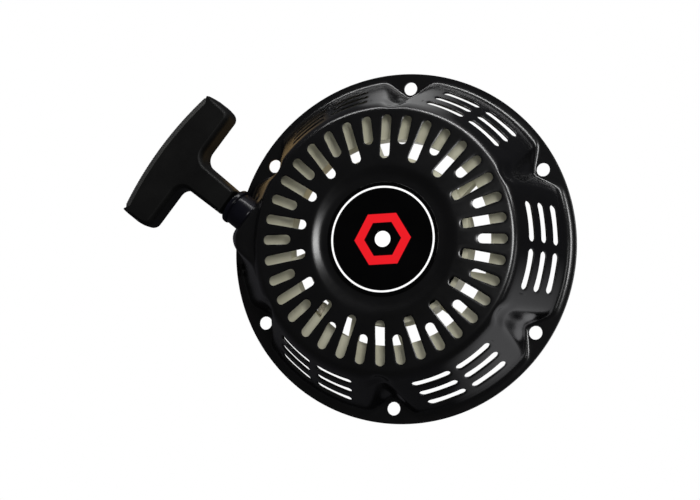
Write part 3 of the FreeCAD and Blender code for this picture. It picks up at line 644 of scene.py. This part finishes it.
def cellOutline(lowA, highA, lowB, highB, acrossCount, sideCount):
    # once round a rectangle in the sheet's own two directions
    a, b = np.linspace(lowA, highA, acrossCount + 1), np.linspace(lowB, highB, sideCount + 1)
    around = np.concatenate([a[:-1], np.full(sideCount, highA), a[:0:-1], np.full(sideCount, lowA)])
    along = np.concatenate([np.full(acrossCount, lowB), b[:-1], np.full(acrossCount, highB), b[:0:-1]])
    return around, along


def slotOutline(length, width, endCount, sideCount, lying):
    # once round a slot with round ends: along its length, and across it. A lying slot starts
    # with its lower side, and a standing one with the round end nearest the start
    half, radius = length / 2 - width / 2, width / 2
    run = np.linspace(-half, half, sideCount + 1)[:-1]
    turn = np.linspace(0, pi, endCount + 1)[:-1]
    side = np.full(sideCount, radius)
    if lying:
        along = [run, half + radius * np.sin(turn), -run, -half - radius * np.sin(turn)]
        across = [-side, -radius * np.cos(turn), side, radius * np.cos(turn)]
    else:
        along = [-half - radius * np.sin(turn), run, half + radius * np.sin(turn), -run]
        across = [-radius * np.cos(turn), side, radius * np.cos(turn), -side]
    return np.concatenate(along), np.concatenate(across)


def ringsAround(hole, cell, toPoint, gap, shares=(0, 0.14, 0.32, 0.58, 0.8, 1.0),
                steps=(0, 0.35, 0.8, 2.2, 5.0, 99.0)):
    # points between a hole's edge and its cell's outline: near the hole the rings keep a set
    # distance from the edge, and the sheet dips there as the punch pulled it down
    (holeA, holeB), (cellA, cellB) = hole, cell
    share = np.minimum(np.array(shares)[None, :], np.array(steps)[None, :] / gap[:, None])
    share[:, -1] = 1.0
    a = holeA[:, None] + (cellA - holeA)[:, None] * share
    b = holeB[:, None] + (cellB - holeB)[:, None] * share
    dip = case["punchDip"] * np.exp(-(share * gap[:, None] / 0.5) ** 2)
    return toPoint(a, b), dip


def sheetBand(toPoint, angles, rows, closed=True):
    return toPoint(*np.meshgrid(angles, rows, indexing="ij")), closed


def makeCase():
    # bands and cells of the sheet's own surface, from the middle out to the flange's edge; a cell
    # is a grid of rings between the outline of a hole and the outline of the cell
    first, count = case["firstColumn"], case["columns"]
    allAngles = first + np.arange(count) * 360.0 / count
    blocks = []
    # dish and crown, up to the face slots, with the middle closed
    inner = np.array([0, 12, 24, 32, 34.5, 35.8, 37, 38, 39, 40, 41, 42, 43, 44.5])
    blocks.append(sheetBand(faceMap, allAngles, inner))
    slotPitch = 360 // case["faceSlots"]
    for k in range(case["faceSlots"]):
        centre = case["faceSlotAngle"] + slotPitch * k
        innerEnd, outerEnd = case["faceSlotEnds"][k % 2], case["faceSlotEnds"][2]
        start = first + 2 + slotPitch * k
        cellA, cellB = cellOutline(start, start + slotPitch, case["faceCellStart"], case["rimStart"], 10, 15)
        along, across = slotOutline(outerEnd - innerEnd, case["faceSlotWidth"], 10, 15, lying=False)
        along += (innerEnd + outerEnd) / 2
        hole = centre + np.degrees(np.arctan2(across, along)), np.hypot(along, across)
        gap = np.hypot(np.radians(cellA - hole[0]) * hole[1], cellB - hole[1])
        grid, dip = ringsAround(hole, (cellA, cellB), faceMap, gap)
        grid[..., 2] -= dip
        blocks.append((grid, True))
    blocks.append(sheetBand(rimMap, allAngles, np.linspace(0, 1, 9)))
    # wall above, beside and below the slots
    rowEdges = [case["wallRowTop"] - case["wallRowPitch"] * i for i in range(4)]
    blocks.append(sheetBand(wallMap, allAngles, np.linspace(0, shareAt(rowEdges[0]), 7)))
    blocks.append(sheetBand(wallMap, allAngles, np.linspace(shareAt(rowEdges[-1]), 1, 5)))
    sideRows = np.linspace(shareAt(rowEdges[0]), shareAt(rowEdges[-1]), 25)
    for lobe in range(case["lobes"]):
        middle = first + 35 + 60 * lobe
        blocks.append(sheetBand(wallMap, middle + np.arange(19, 42), sideRows, False))
        if lobe == case["ropeLobe"]:
            blocks.append(sheetBand(wallMap, middle + np.arange(-19, 20), sideRows, False))
            continue
        for side in (-1, 1):
            lowAngle = middle - 19 if side < 0 else middle
            for row, spread in enumerate(case["wallSlotSpread"]):
                highZ, lowZ = rowEdges[row], rowEdges[row + 1]
                cellA, cellZ = cellOutline(lowAngle, lowAngle + 19, lowZ, highZ, 19, 8)
                slotZ = case["wallSlotTop"] - case["wallRowPitch"] * row
                along, up = slotOutline(*case["wallSlot"], 8, 19, lying=True)
                slotAngle = middle + side * spread
                radius = case["coneFoot"] - case["coneLean"] * slotZ
                holeA = slotAngle + np.degrees(np.arcsin(along / radius))
                holeZ = slotZ + up
                gap = np.hypot(np.radians(cellA - holeA) * radius, (cellZ - holeZ) * case["wallSlant"])
                grid, dip = ringsAround((holeA, shareAt(holeZ)), (cellA, shareAt(cellZ)), wallMap, gap)
                facing, (outward, upward) = radians(slotAngle), case["wallFacing"]
                grid -= dip[..., None] * np.array([outward * cos(facing), outward * sin(facing), upward])
                blocks.append((grid, True))
    blocks.append(sheetBand(footMap, allAngles, np.linspace(0, 1, 7)))
    # flange with its bolt holes
    flangeRows = np.linspace(0, 1, 5)
    for lobe in range(case["lobes"]):
        bolt, cell = case["boltAngle"] + 60 * lobe, case["boltCell"]
        blocks.append(sheetBand(flangeMap, bolt + np.arange(cell, 61 - cell), flangeRows, False))
        cellA, cellB = cellOutline(bolt - cell, bolt + cell, 0, 1, 2 * cell, 4)
        outline = flangeMap(cellA, cellB)
        middle = toSpace(np.array(bolt), np.array(case["boltRadius"]), np.array(case["sheet"]))
        spoke = outline - middle
        reach = np.linalg.norm(spoke, axis=1)
        edge = middle + spoke / reach[:, None] * case["boltHole"]
        share = np.minimum(np.array([0, 0.3, 0.6, 1.0])[None, :],
                           np.array([0, 0.4, 1.5, 99])[None, :] / (reach - case["boltHole"])[:, None])
        share[:, -1] = 1
        grid = edge[:, None, :] + (outline - edge)[:, None, :] * share[..., None]
        blocks.append((grid, True))
    outer = np.array([case["flangeRadius"] - case["flangeEdge"], case["flangeRadius"]])
    edgeGrid = np.meshgrid(allAngles, outer, indexing="ij")
    blocks.append((toSpace(edgeGrid[0], edgeGrid[1], case["sheet"]), True))
    piece = buildPiece("pressed_case", blocks, outside=(0, 0, 1))
    addModifier(piece, "SOLIDIFY", thickness=case["solid"] * mm, offset=-1)
    addModifier(piece, "BEVEL", width=0.28 * mm, segments=2, limit_method="ANGLE",
                angle_limit=radians(45))
    finishPiece(piece, "case", casePaint, "housing")


makeCase()
print("case made")


def tubeAlong(path, radius, sides, name):
    # a cord: path + radius (side cos t + top sin t), where side is level and square to the path and
    # top is square to both; its ends are closed with fans
    ahead = np.gradient(path, axis=0)
    ahead /= np.linalg.norm(ahead, axis=1)[:, None]
    side = np.cross(ahead, np.array([0.0, 0.0, 1.0]) + 1e-3)
    side /= np.linalg.norm(side, axis=1)[:, None]
    top = np.cross(side, ahead)
    turn = np.arange(sides) * 2 * pi / sides
    ring = side[None] * np.cos(turn)[:, None, None] + top[None] * np.sin(turn)[:, None, None]
    grid = (path[None] + ring * radius).reshape(-1, 3)
    start, stop = len(grid), len(path)
    points = np.concatenate([grid, path[:1], path[-1:]])
    faces = gridFaces((sides, stop), True)
    index = np.arange(sides) * stop
    nextIndex = np.roll(index, -1)
    caps = np.concatenate([
        np.stack([nextIndex, index, np.full(sides, start)], -1),
        np.stack([index + stop - 1, nextIndex + stop - 1, np.full(sides, start + 1)], -1)])
    mesh = bpy.data.meshes.new(name)
    mesh.from_pydata((points * mm).tolist(), [], faces.tolist() + caps.tolist())
    # the map: once round the cord, and the distance along it
    corners = np.concatenate([faces.ravel(), caps.ravel()])
    firstCorner = np.concatenate([np.repeat(faces[:, 0], 4), np.repeat(caps[:, 0], 3)])
    around = np.where(corners < start, corners // stop, 0) / sides
    wraps = (np.where(firstCorner < start, firstCorner // stop, 0) >= sides - 1) & (around == 0)
    around = np.where(wraps, 1.0, around)
    travel = np.concatenate([[0], np.cumsum(np.linalg.norm(np.diff(path, axis=0), axis=1))])
    along = travel[np.where(corners < start, corners % stop, 0)]
    layer = mesh.uv_layers.new(name="braidMap")
    layer.data.foreach_set("uv", np.stack([around, along], -1).ravel())
    turnOutwards(mesh)
    return linkObject(name, mesh)


# rope: wound on the reel, a straight run out to the handle, and a knot at each end

rope = {
    "runStart": -136.5,           # x of the end in the handle
    "stretch": (-80.0, -136.2),   # between these the run lengthens as the handle goes out
    "corner": -74.0,              # x of the corner behind the guide
    "bend": 13.0,
    "touch": (-44.7, -61.7),      # where the run meets the coil
    "touchAngle": 234.1,
    "woundRadius": 76.2,
    "woundStep": 4.04,            # how much a turn comes in
    "woundTurns": 3.055,
}


def makeWoundRope():
    # a spiral: the radius falls in a straight line as the angle falls from the touch point.
    # Known fault: the angle should rise, as the CAD rope's does
    turned = np.linspace(0, 360 * rope["woundTurns"], 1100)
    angle = np.radians(rope["touchAngle"] - turned)
    radius = rope["woundRadius"] - rope["woundStep"] * turned / 360
    level = np.full(len(angle), ropeLine["z"])
    path = np.stack([radius * np.cos(angle), radius * np.sin(angle), level], -1)
    piece = tubeAlong(path, ropeLine["radius"] - 0.02, 16, "wound_cord")
    finishPiece(piece, "reel", coilCloth, "rope_wound")


def makeRopeRun():
    # straight from the handle, a bend pulled towards the corner, and a short end at the coil.
    # Known fault: half is taken from the wrong angle, so the bend starts 40 mm before the corner
    corner = np.array([rope["corner"], ropeLine["y"], ropeLine["z"]])
    touch = np.array([*rope["touch"], ropeLine["z"]])
    onward = (touch - corner) / np.linalg.norm(touch - corner)
    back = np.array([-1.0, 0.0, 0.0])
    half = np.arccos(np.clip(-onward @ -back, -1, 1)) / 2
    setBack = rope["bend"] * np.tan(half)
    share = np.linspace(0, 1, 24)[:, None]
    first = corner + back * setBack
    last = corner + onward * setBack
    arc = bend(first, corner, last, share)
    farEnd = np.array([rope["runStart"], ropeLine["y"], ropeLine["z"]])
    straight = farEnd + (first - farEnd) * np.linspace(0, 1, 420)[:, None]
    rest = last + (touch - last) * np.linspace(0, 1, 40)[:, None]
    path = np.concatenate([straight, arc[1:], rest[1:]])
    piece = tubeAlong(path, ropeLine["radius"] - 0.02, 20, "pull_cord")
    piece.data.materials.append(ropeCloth)
    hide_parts("rope_run")
    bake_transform(piece)


def makeKnot(name, body, node, tube):
    # a trefoil: x = sin t + 2 sin 2t, y = cos t - 2 cos 2t, z = -sin 3t, scaled into the node's box
    low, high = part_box(node)
    middle = np.array((low + high) / 2) / mm
    half = np.array((high - low) / 2) / mm
    t = np.linspace(0, 2 * pi, 181)
    loop = np.stack([np.sin(t) + 2 * np.sin(2 * t), np.cos(t) - 2 * np.cos(2 * t), -np.sin(3 * t)], -1)
    path = middle + loop / np.array([3.0, 3.0, 1.35]) * (half - tube) * np.array([1.0, 1.0, 1.1])
    piece = tubeAlong(path, tube, 14, name)
    finishPiece(piece, body, coilCloth, node)


# badge: a thin printed disc with a soft edge

def makeBadge():
    low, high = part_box("face_badge")
    top, bottom, radius = high.z / mm, low.z / mm, badge["radius"]
    flat = [(r, top) for r in (0, 8, 16, 24, 29, 31.5, radius - 0.3)]
    edge = [(radius - 0.1, top - 0.06), (radius, top - 0.2), (radius, bottom), (0, bottom)]
    profile = np.array(flat + edge)                   # turned about Z
    angle, step = np.meshgrid(np.arange(180) * 2.0, np.arange(len(profile)), indexing="ij")
    grid = toSpace(angle, profile[step][..., 0], profile[step][..., 1])
    piece = buildPiece("face_disc", [(grid, True)])
    finishPiece(piece, "case", badgeFilm, "face_badge")


# rope guide: one profile turned about the rope's line

guide = {
    "profile": [(-77.8, 2.9), (-77.8, 9.4), (-78.4, 10.2), (-88.6, 10.2), (-89.0, 9.9), (-89.25, 9.9),
                (-89.5, 10.8), (-89.9, 11.05), (-91.6, 11.05), (-92.3, 10.6), (-93.2, 8.8), (-93.2, 4.6),
                (-92.9, 3.9), (-92.2, 3.2), (-91.0, 2.9), (-84.0, 2.8)],
}


def makeGuide():
    # the profile (x, r), its corners averaged round, turned about the rope's line:
    # y = line + r cos t, z = line + r sin t
    sides = 96
    profile = np.array(guide["profile"])
    fine = []
    for (x0, r0), (x1, r1) in zip(profile, np.roll(profile, -1, 0)):
        share = np.linspace(0, 1, 4)[:-1, None]
        fine.append(np.array([x0, r0]) + share * np.array([x1 - x0, r1 - r0]))
    fine = smoothAlong(np.concatenate(fine), 0.8, 0, wrap=True)
    turn = np.arange(sides) * 2 * pi / sides
    x = np.broadcast_to(fine[None, :, 0], (sides, len(fine)))
    y = ropeLine["y"] + fine[None, :, 1] * np.cos(turn)[:, None]
    z = ropeLine["z"] + fine[None, :, 1] * np.sin(turn)[:, None]
    grid = np.stack([x, y, z], -1)
    grid = np.concatenate([grid, grid[:, :1]], 1)
    piece = buildPiece("guide_bush", [(grid, True)])
    finishPiece(piece, "case", guidePlastic, "rope_guide")


# handle: a T with soft edges, and a ribbed half-round strip along its outer side

handle = {
    "middle": -40.9,              # y of the stem's line
    "centreZ": 24.0,
    "halfThick": 9.5,
    "stemEnd": -93.9,
    "stemHalf": (8.3, 9.2),       # half width of the stem at its end and at its root
    "inner": -125.1,              # x of the bar's inner side
    "halfBar": 43.2,
    "filletRadius": 7.0,
    "edgeInset": 2.8,             # how far the front and back come in from the widest outline
    "edgeDepth": 5.6,             # and over what thickness
    "stemRound": 0.8,
    "shoulder": (1.2, 5.0),       # how far in from halfBar the bar's inner corner is, and its radius
    "barEnd": [(-133.0, 0.0, 14.0), (-140.5, 0.0, 12.0), (-145.6, 0.6, 1.0)],   # x, how far in, radius
    "outer": -151.4,              # x of the strip's outermost line, at the middle
    "outerRise": 4.1,             # how much that line comes in at outerSpan from the middle
    "outerSpan": 41.0,
    "bodyBack": 5.1,              # how far behind the outermost line the body ends
    "stripBack": 6.2,             # and the strip's flat back is
    "stripRadius": 10.0,
    "stripHalf": 9.0,
    "stripLength": 83.0,
    "ribPitch": 1.25,
    "ribHeight": 0.3,
}


def outerLine(y):
    # parabola: outermost x at a distance y from the stem's line
    return handle["outer"] + handle["outerRise"] * (y / handle["outerSpan"]) ** 2


def roundedOutline(corners, spacing=0.7, steps=12):
    # straight runs between corners, each corner rounded with its own radius by an arc whose
    # points are its centre + r, turned evenly from square to one run to square to the next
    points = []
    corners = np.array(corners, float)
    for i in range(len(corners)):
        before, here, after = corners[i - 1, :2], corners[i, :2], corners[(i + 1) % len(corners), :2]
        radius = corners[i, 2]
        into, out = here - before, after - here
        into, out = into / np.linalg.norm(into), out / np.linalg.norm(out)
        bendAngle = np.arctan2(into[0] * out[1] - into[1] * out[0], into @ out)
        if radius > 0 and abs(bendAngle) > 1e-3:
            start = here - into * radius * np.tan(abs(bendAngle) / 2)
            normal = np.array([-into[1], into[0]]) * np.sign(bendAngle)
            turn = np.linspace(0, bendAngle, steps)[:, None]
            spoke = -normal
            arc = start + normal * radius + radius * np.concatenate([
                spoke[0] * np.cos(turn) - spoke[1] * np.sin(turn),
                spoke[0] * np.sin(turn) + spoke[1] * np.cos(turn)], 1)
            points.append(arc)
        else:
            points.append(here[None])
    points = np.concatenate(points)
    closed = np.concatenate([points, points[:1]])
    travel = np.concatenate([[0], np.cumsum(np.linalg.norm(np.diff(closed, axis=0), axis=1))])
    count = int(travel[-1] / spacing)
    at = np.linspace(0, travel[-1], count, endpoint=False)
    return np.stack([np.interp(at, travel, closed[:, 0]), np.interp(at, travel, closed[:, 1])], -1)


def makeHandle():
    # the outline, drawn in by edgeInset (1 - sqrt(1 - u^2)) where u runs from 0 at edgeDepth
    # inside the front or back to 1 on it
    root, end, half = handle["stemHalf"][1], handle["stemHalf"][0], handle["halfBar"]
    outerY = np.linspace(half - 1.6, -(half - 1.6), 25)
    shoulderIn, shoulderRadius = handle["shoulder"]
    upper = [(handle["stemEnd"], end, handle["stemRound"]), (handle["inner"], root, handle["filletRadius"]),
             (handle["inner"], half - shoulderIn, shoulderRadius)]
    upper += [(x, half - inward, radius) for x, inward, radius in handle["barEnd"]]
    outer = [(outerLine(y) + handle["bodyBack"], y, 0.0) for y in outerY]
    lower = [(x, -y, r) for x, y, r in upper[::-1]]
    outline = roundedOutline(upper + outer[1:-1] + lower)
    ahead = np.roll(outline, -1, 0) - np.roll(outline, 1, 0)
    ahead = smoothAlong(ahead, 1.2, 0, wrap=True)
    ahead /= np.linalg.norm(ahead, axis=1)[:, None]
    inward = np.stack([-ahead[:, 1], ahead[:, 0]], -1)
    following = np.roll(outline, -1, 0)
    area = np.sum(outline[:, 0] * following[:, 1] - following[:, 0] * outline[:, 1])
    inward = inward * np.sign(area)
    # full rounding everywhere but on the side under the strip
    soft = np.where(outline[:, 0] < outerLine(outline[:, 1]) + handle["stripBack"], 0.25, 1.0)
    soft = smoothAlong(soft, 2.0, 0, wrap=True)
    soft = np.where(outline[:, 0] > handle["stemEnd"] - 0.9, 0.3, soft)
    soft = smoothAlong(soft, 1.0, 0, wrap=True)
    quarter = np.sin(np.linspace(90, 0, 13) * pi / 180)
    u = np.concatenate([quarter, -quarter[-2::-1]])
    depth = np.sign(u) * (handle["halfThick"] - handle["edgeDepth"] * (1 - np.abs(u)))
    inset = handle["edgeInset"] * (1 - np.sqrt(1 - np.clip(np.abs(u), 0, 1) ** 2 * 0.9999))
    inset = inset * soft[:, None]
    x = outline[:, None, 0] + inward[:, None, 0] * inset
    y = outline[:, None, 1] + inward[:, None, 1] * inset + handle["middle"]
    z = np.broadcast_to(handle["centreZ"] + depth[None], x.shape)
    grid = np.stack([x, y, z], -1)
    piece = buildPiece("handle_body", [(grid, True)], caps=(grid[:, 0], grid[:, -1]))
    addModifier(piece, "WEIGHTED_NORMAL", mode="FACE_AREA", weight=100)
    finishPiece(piece, "handle", gripPlastic, "handle_grip")


def makeStrip():
    # an arc of stripRadius across, carried along the outer line, with ribs that rise by
    # ribHeight |sin|^0.7 along it, die away at the two sides and stop before the two ends
    along = np.linspace(-handle["stripLength"] / 2, handle["stripLength"] / 2, 641)
    lean = 2 * handle["outerRise"] * along / handle["outerSpan"] ** 2
    outward = np.stack([-np.ones_like(along), lean], -1)
    outward /= np.linalg.norm(outward, axis=1)[:, None]
    across = np.linspace(-1, 1, 41) * np.arcsin(handle["stripHalf"] / handle["stripRadius"])
    height = handle["stripRadius"] * np.sin(across)
    drop = handle["stripRadius"] * (np.cos(across) - 1)
    endFade = np.clip((handle["stripLength"] / 2 - np.abs(along)) / 1.6, 0, 1)
    ribs = np.abs(np.sin(pi * along / handle["ribPitch"])) ** 0.7 * handle["ribHeight"] * (endFade >= 1)
    edgeFade = np.clip((handle["stripHalf"] - np.abs(height)) / 1.4, 0, 1)
    rise = drop[None] + ribs[:, None] * edgeFade[None] - 0.9 * (1 - np.sqrt(endFade))[:, None]
    front = outerLine(along)
    x = front[:, None] + outward[:, None, 0] * rise
    y = along[:, None] + outward[:, None, 1] * rise + handle["middle"]
    z = np.broadcast_to(handle["centreZ"] + height[None], x.shape)
    face = np.stack([x, y, z], -1)
    back = face.copy()
    back[..., 0] = front[:, None] + handle["stripBack"]
    back[..., 1] = along[:, None] + handle["middle"]
    grid = np.concatenate([face, back[:, ::-1]], 1)
    grid = np.concatenate([grid, grid[:, :1]], 1)
    piece = buildPiece("handle_strip", [(grid, False)], caps=(grid[0, :-1], grid[-1, :-1]))
    finishPiece(piece, "handle", coverPlastic, "handle_cover")


makeWoundRope()
makeRopeRun()
makeKnot("reel_end_knot", "reel", "reel_knot", 1.65)
makeKnot("handle_end_knot", "rope_end", "handle_knot", 1.7)
makeBadge()
makeGuide()
makeHandle()
makeStrip()
print("rope, badge and handle made")


# studio: pale floor, pale surroundings, soft lights, camera

# middle and half width of each card in degrees, and how far out it reaches in metres
floorCards = [
    {"bearing": 0, "reach": 34, "edge": 3.0, "colour": (0.9, 0.9, 0.92)},
    {"bearing": 127, "reach": 20, "edge": 3.0, "colour": (0.9, 0.9, 0.9)},
    {"bearing": 182, "reach": 24, "edge": 0.115, "colour": (0.45, 0.29, 0.1)},
]


def makeFloor():
    mesh = bpy.data.meshes.new("floor")
    side = 12.0
    mesh.from_pydata([(-side, -side, 0), (side, -side, 0), (side, side, 0), (-side, side, 0)], [],
                     [(0, 1, 2, 3)])
    floor = linkObject("floor", mesh)
    floor.location.z = cadBox[0].z - 0.0006
    material = bpy.data.materials.new("paleFloor")
    material.use_nodes = True
    tree = material.node_tree
    tree.nodes.remove(tree.nodes["Principled BSDF"])
    output = tree.nodes["Material Output"]
    # a light table: clear white where it is seen; in the paint's reflections it is dim, with
    # brighter cards lying on it on a few sides
    path = addNode(tree, "ShaderNodeLightPath")
    place = addNode(tree, "ShaderNodeTexCoord").outputs["Object"]
    split = addNode(tree, "ShaderNodeSeparateXYZ", {"Vector": place})
    bearing = mathNode(tree, "ARCTAN2", split.outputs["Y"], split.outputs["X"])
    distance = mathNode(tree, "SQRT", mathNode(
        tree, "ADD", mathNode(tree, "MULTIPLY", split.outputs["X"], split.outputs["X"]),
        mathNode(tree, "MULTIPLY", split.outputs["Y"], split.outputs["Y"])))
    glow = addNode(tree, "ShaderNodeRGB").outputs[0]
    glow.default_value = (0.05, 0.05, 0.055, 1)
    for card in floorCards:
        away = mathNode(tree, "ABSOLUTE", mathNode(
            tree, "WRAP", mathNode(tree, "SUBTRACT", bearing, radians(card["bearing"])), pi, -pi))
        mask = mathNode(tree, "MULTIPLY",
                        mapRange(tree, away, radians(card["reach"]), radians(card["reach"] * 0.3)),
                        mapRange(tree, distance, card["edge"] * 1.04, card["edge"]))
        glow = mixColour(tree, mask, glow, card["colour"], blend_type="ADD")
    white = addNode(tree, "ShaderNodeEmission", {"Color": (1, 1, 1, 1), "Strength": 1.0})
    dim = addNode(tree, "ShaderNodeEmission", {"Color": glow, "Strength": 1.0})
    fill = addNode(tree, "ShaderNodeEmission", {"Color": (1, 1, 1, 1), "Strength": 0.35})
    unseen = addNode(tree, "ShaderNodeMixShader", {
        0: path.outputs["Is Diffuse Ray"], 1: dim.outputs[0], 2: fill.outputs[0]})
    mixed = addNode(tree, "ShaderNodeMixShader", {
        0: path.outputs["Is Camera Ray"], 1: unseen.outputs[0], 2: white.outputs[0]})
    tree.links.new(mixed.outputs[0], output.inputs["Surface"])
    mesh.materials.append(material)


def makeWorld():
    world = bpy.data.worlds.new("studio")
    bpy.context.scene.world = world
    world.use_nodes = True
    tree = world.node_tree
    background = tree.nodes["Background"]
    path = addNode(tree, "ShaderNodeLightPath")
    background.inputs["Color"].default_value = (1, 1, 1, 1)
    # white where it is seen, dim in reflections, and a soft fill on cloth and nylon
    seen = mapRange(tree, path.outputs["Is Camera Ray"], 0, 1, 0.05, 1.0)
    fill = mapRange(tree, path.outputs["Is Diffuse Ray"], 0, 1, 0.0, 0.4)
    tree.links.new(mathNode(tree, "MAXIMUM", seen, fill), background.inputs["Strength"])


# azimuth and elevation in degrees; distance, width and height in metres; power in watts
studioPanels = {
    "rimPanel1": (30, 30, 1.2, 0.5, 0.2, 1.0),
    "rimPanel2": (84, 30, 1.2, 0.7, 0.16, 6),
    "rimPanel3": (114, 20, 1.2, 0.7, 0.14, 7),
    "rimPanel4": (150, 16, 1.2, 0.6, 0.12, 4),
    "softPanel": (55, 66, 1.3, 0.42, 0.24, 6.5),
}


def placeFacing(thing, target, azimuth, elevation, distance):
    # out from the target along a bearing and a lift, looking back at it
    turn, lift = radians(azimuth), radians(elevation)
    away = Vector((cos(lift) * cos(turn), cos(lift) * sin(turn), sin(lift)))
    thing.location = Vector(target) + away * distance
    thing.rotation_mode = "QUATERNION"
    thing.rotation_quaternion = away.to_track_quat("Z", "Y")


def addPanel(name, azimuth, elevation, distance, width, height, power):
    light = bpy.data.lights.new(name, "AREA")
    light.shape = "RECTANGLE"
    light.size, light.size_y = width, height
    light.energy = power
    placeFacing(linkObject(name, light), (0, 0, 0), azimuth, elevation, distance)


def makeCamera():
    view = {"target": (-0.02217, -0.01963, 0.01024), "azimuth": 16.02, "elevation": 72.086,
            "distance": 1.2, "roll": 68.302, "lens": 104.54}
    data = bpy.data.cameras.new("camera")
    data.lens = view["lens"]
    data.sensor_width = 36.0
    camera = linkObject("camera", data)
    placeFacing(camera, view["target"], view["azimuth"], view["elevation"], view["distance"])
    camera.rotation_quaternion = camera.rotation_quaternion @ Quaternion((0, 0, 1), -radians(view["roll"]))
    bpy.context.scene.camera = camera


makeFloor()
makeWorld()
for panelName, panel in studioPanels.items():
    addPanel(panelName, *panel)
makeCamera()
bpy.context.scene.view_settings.view_transform = "Standard"
print("studio made")
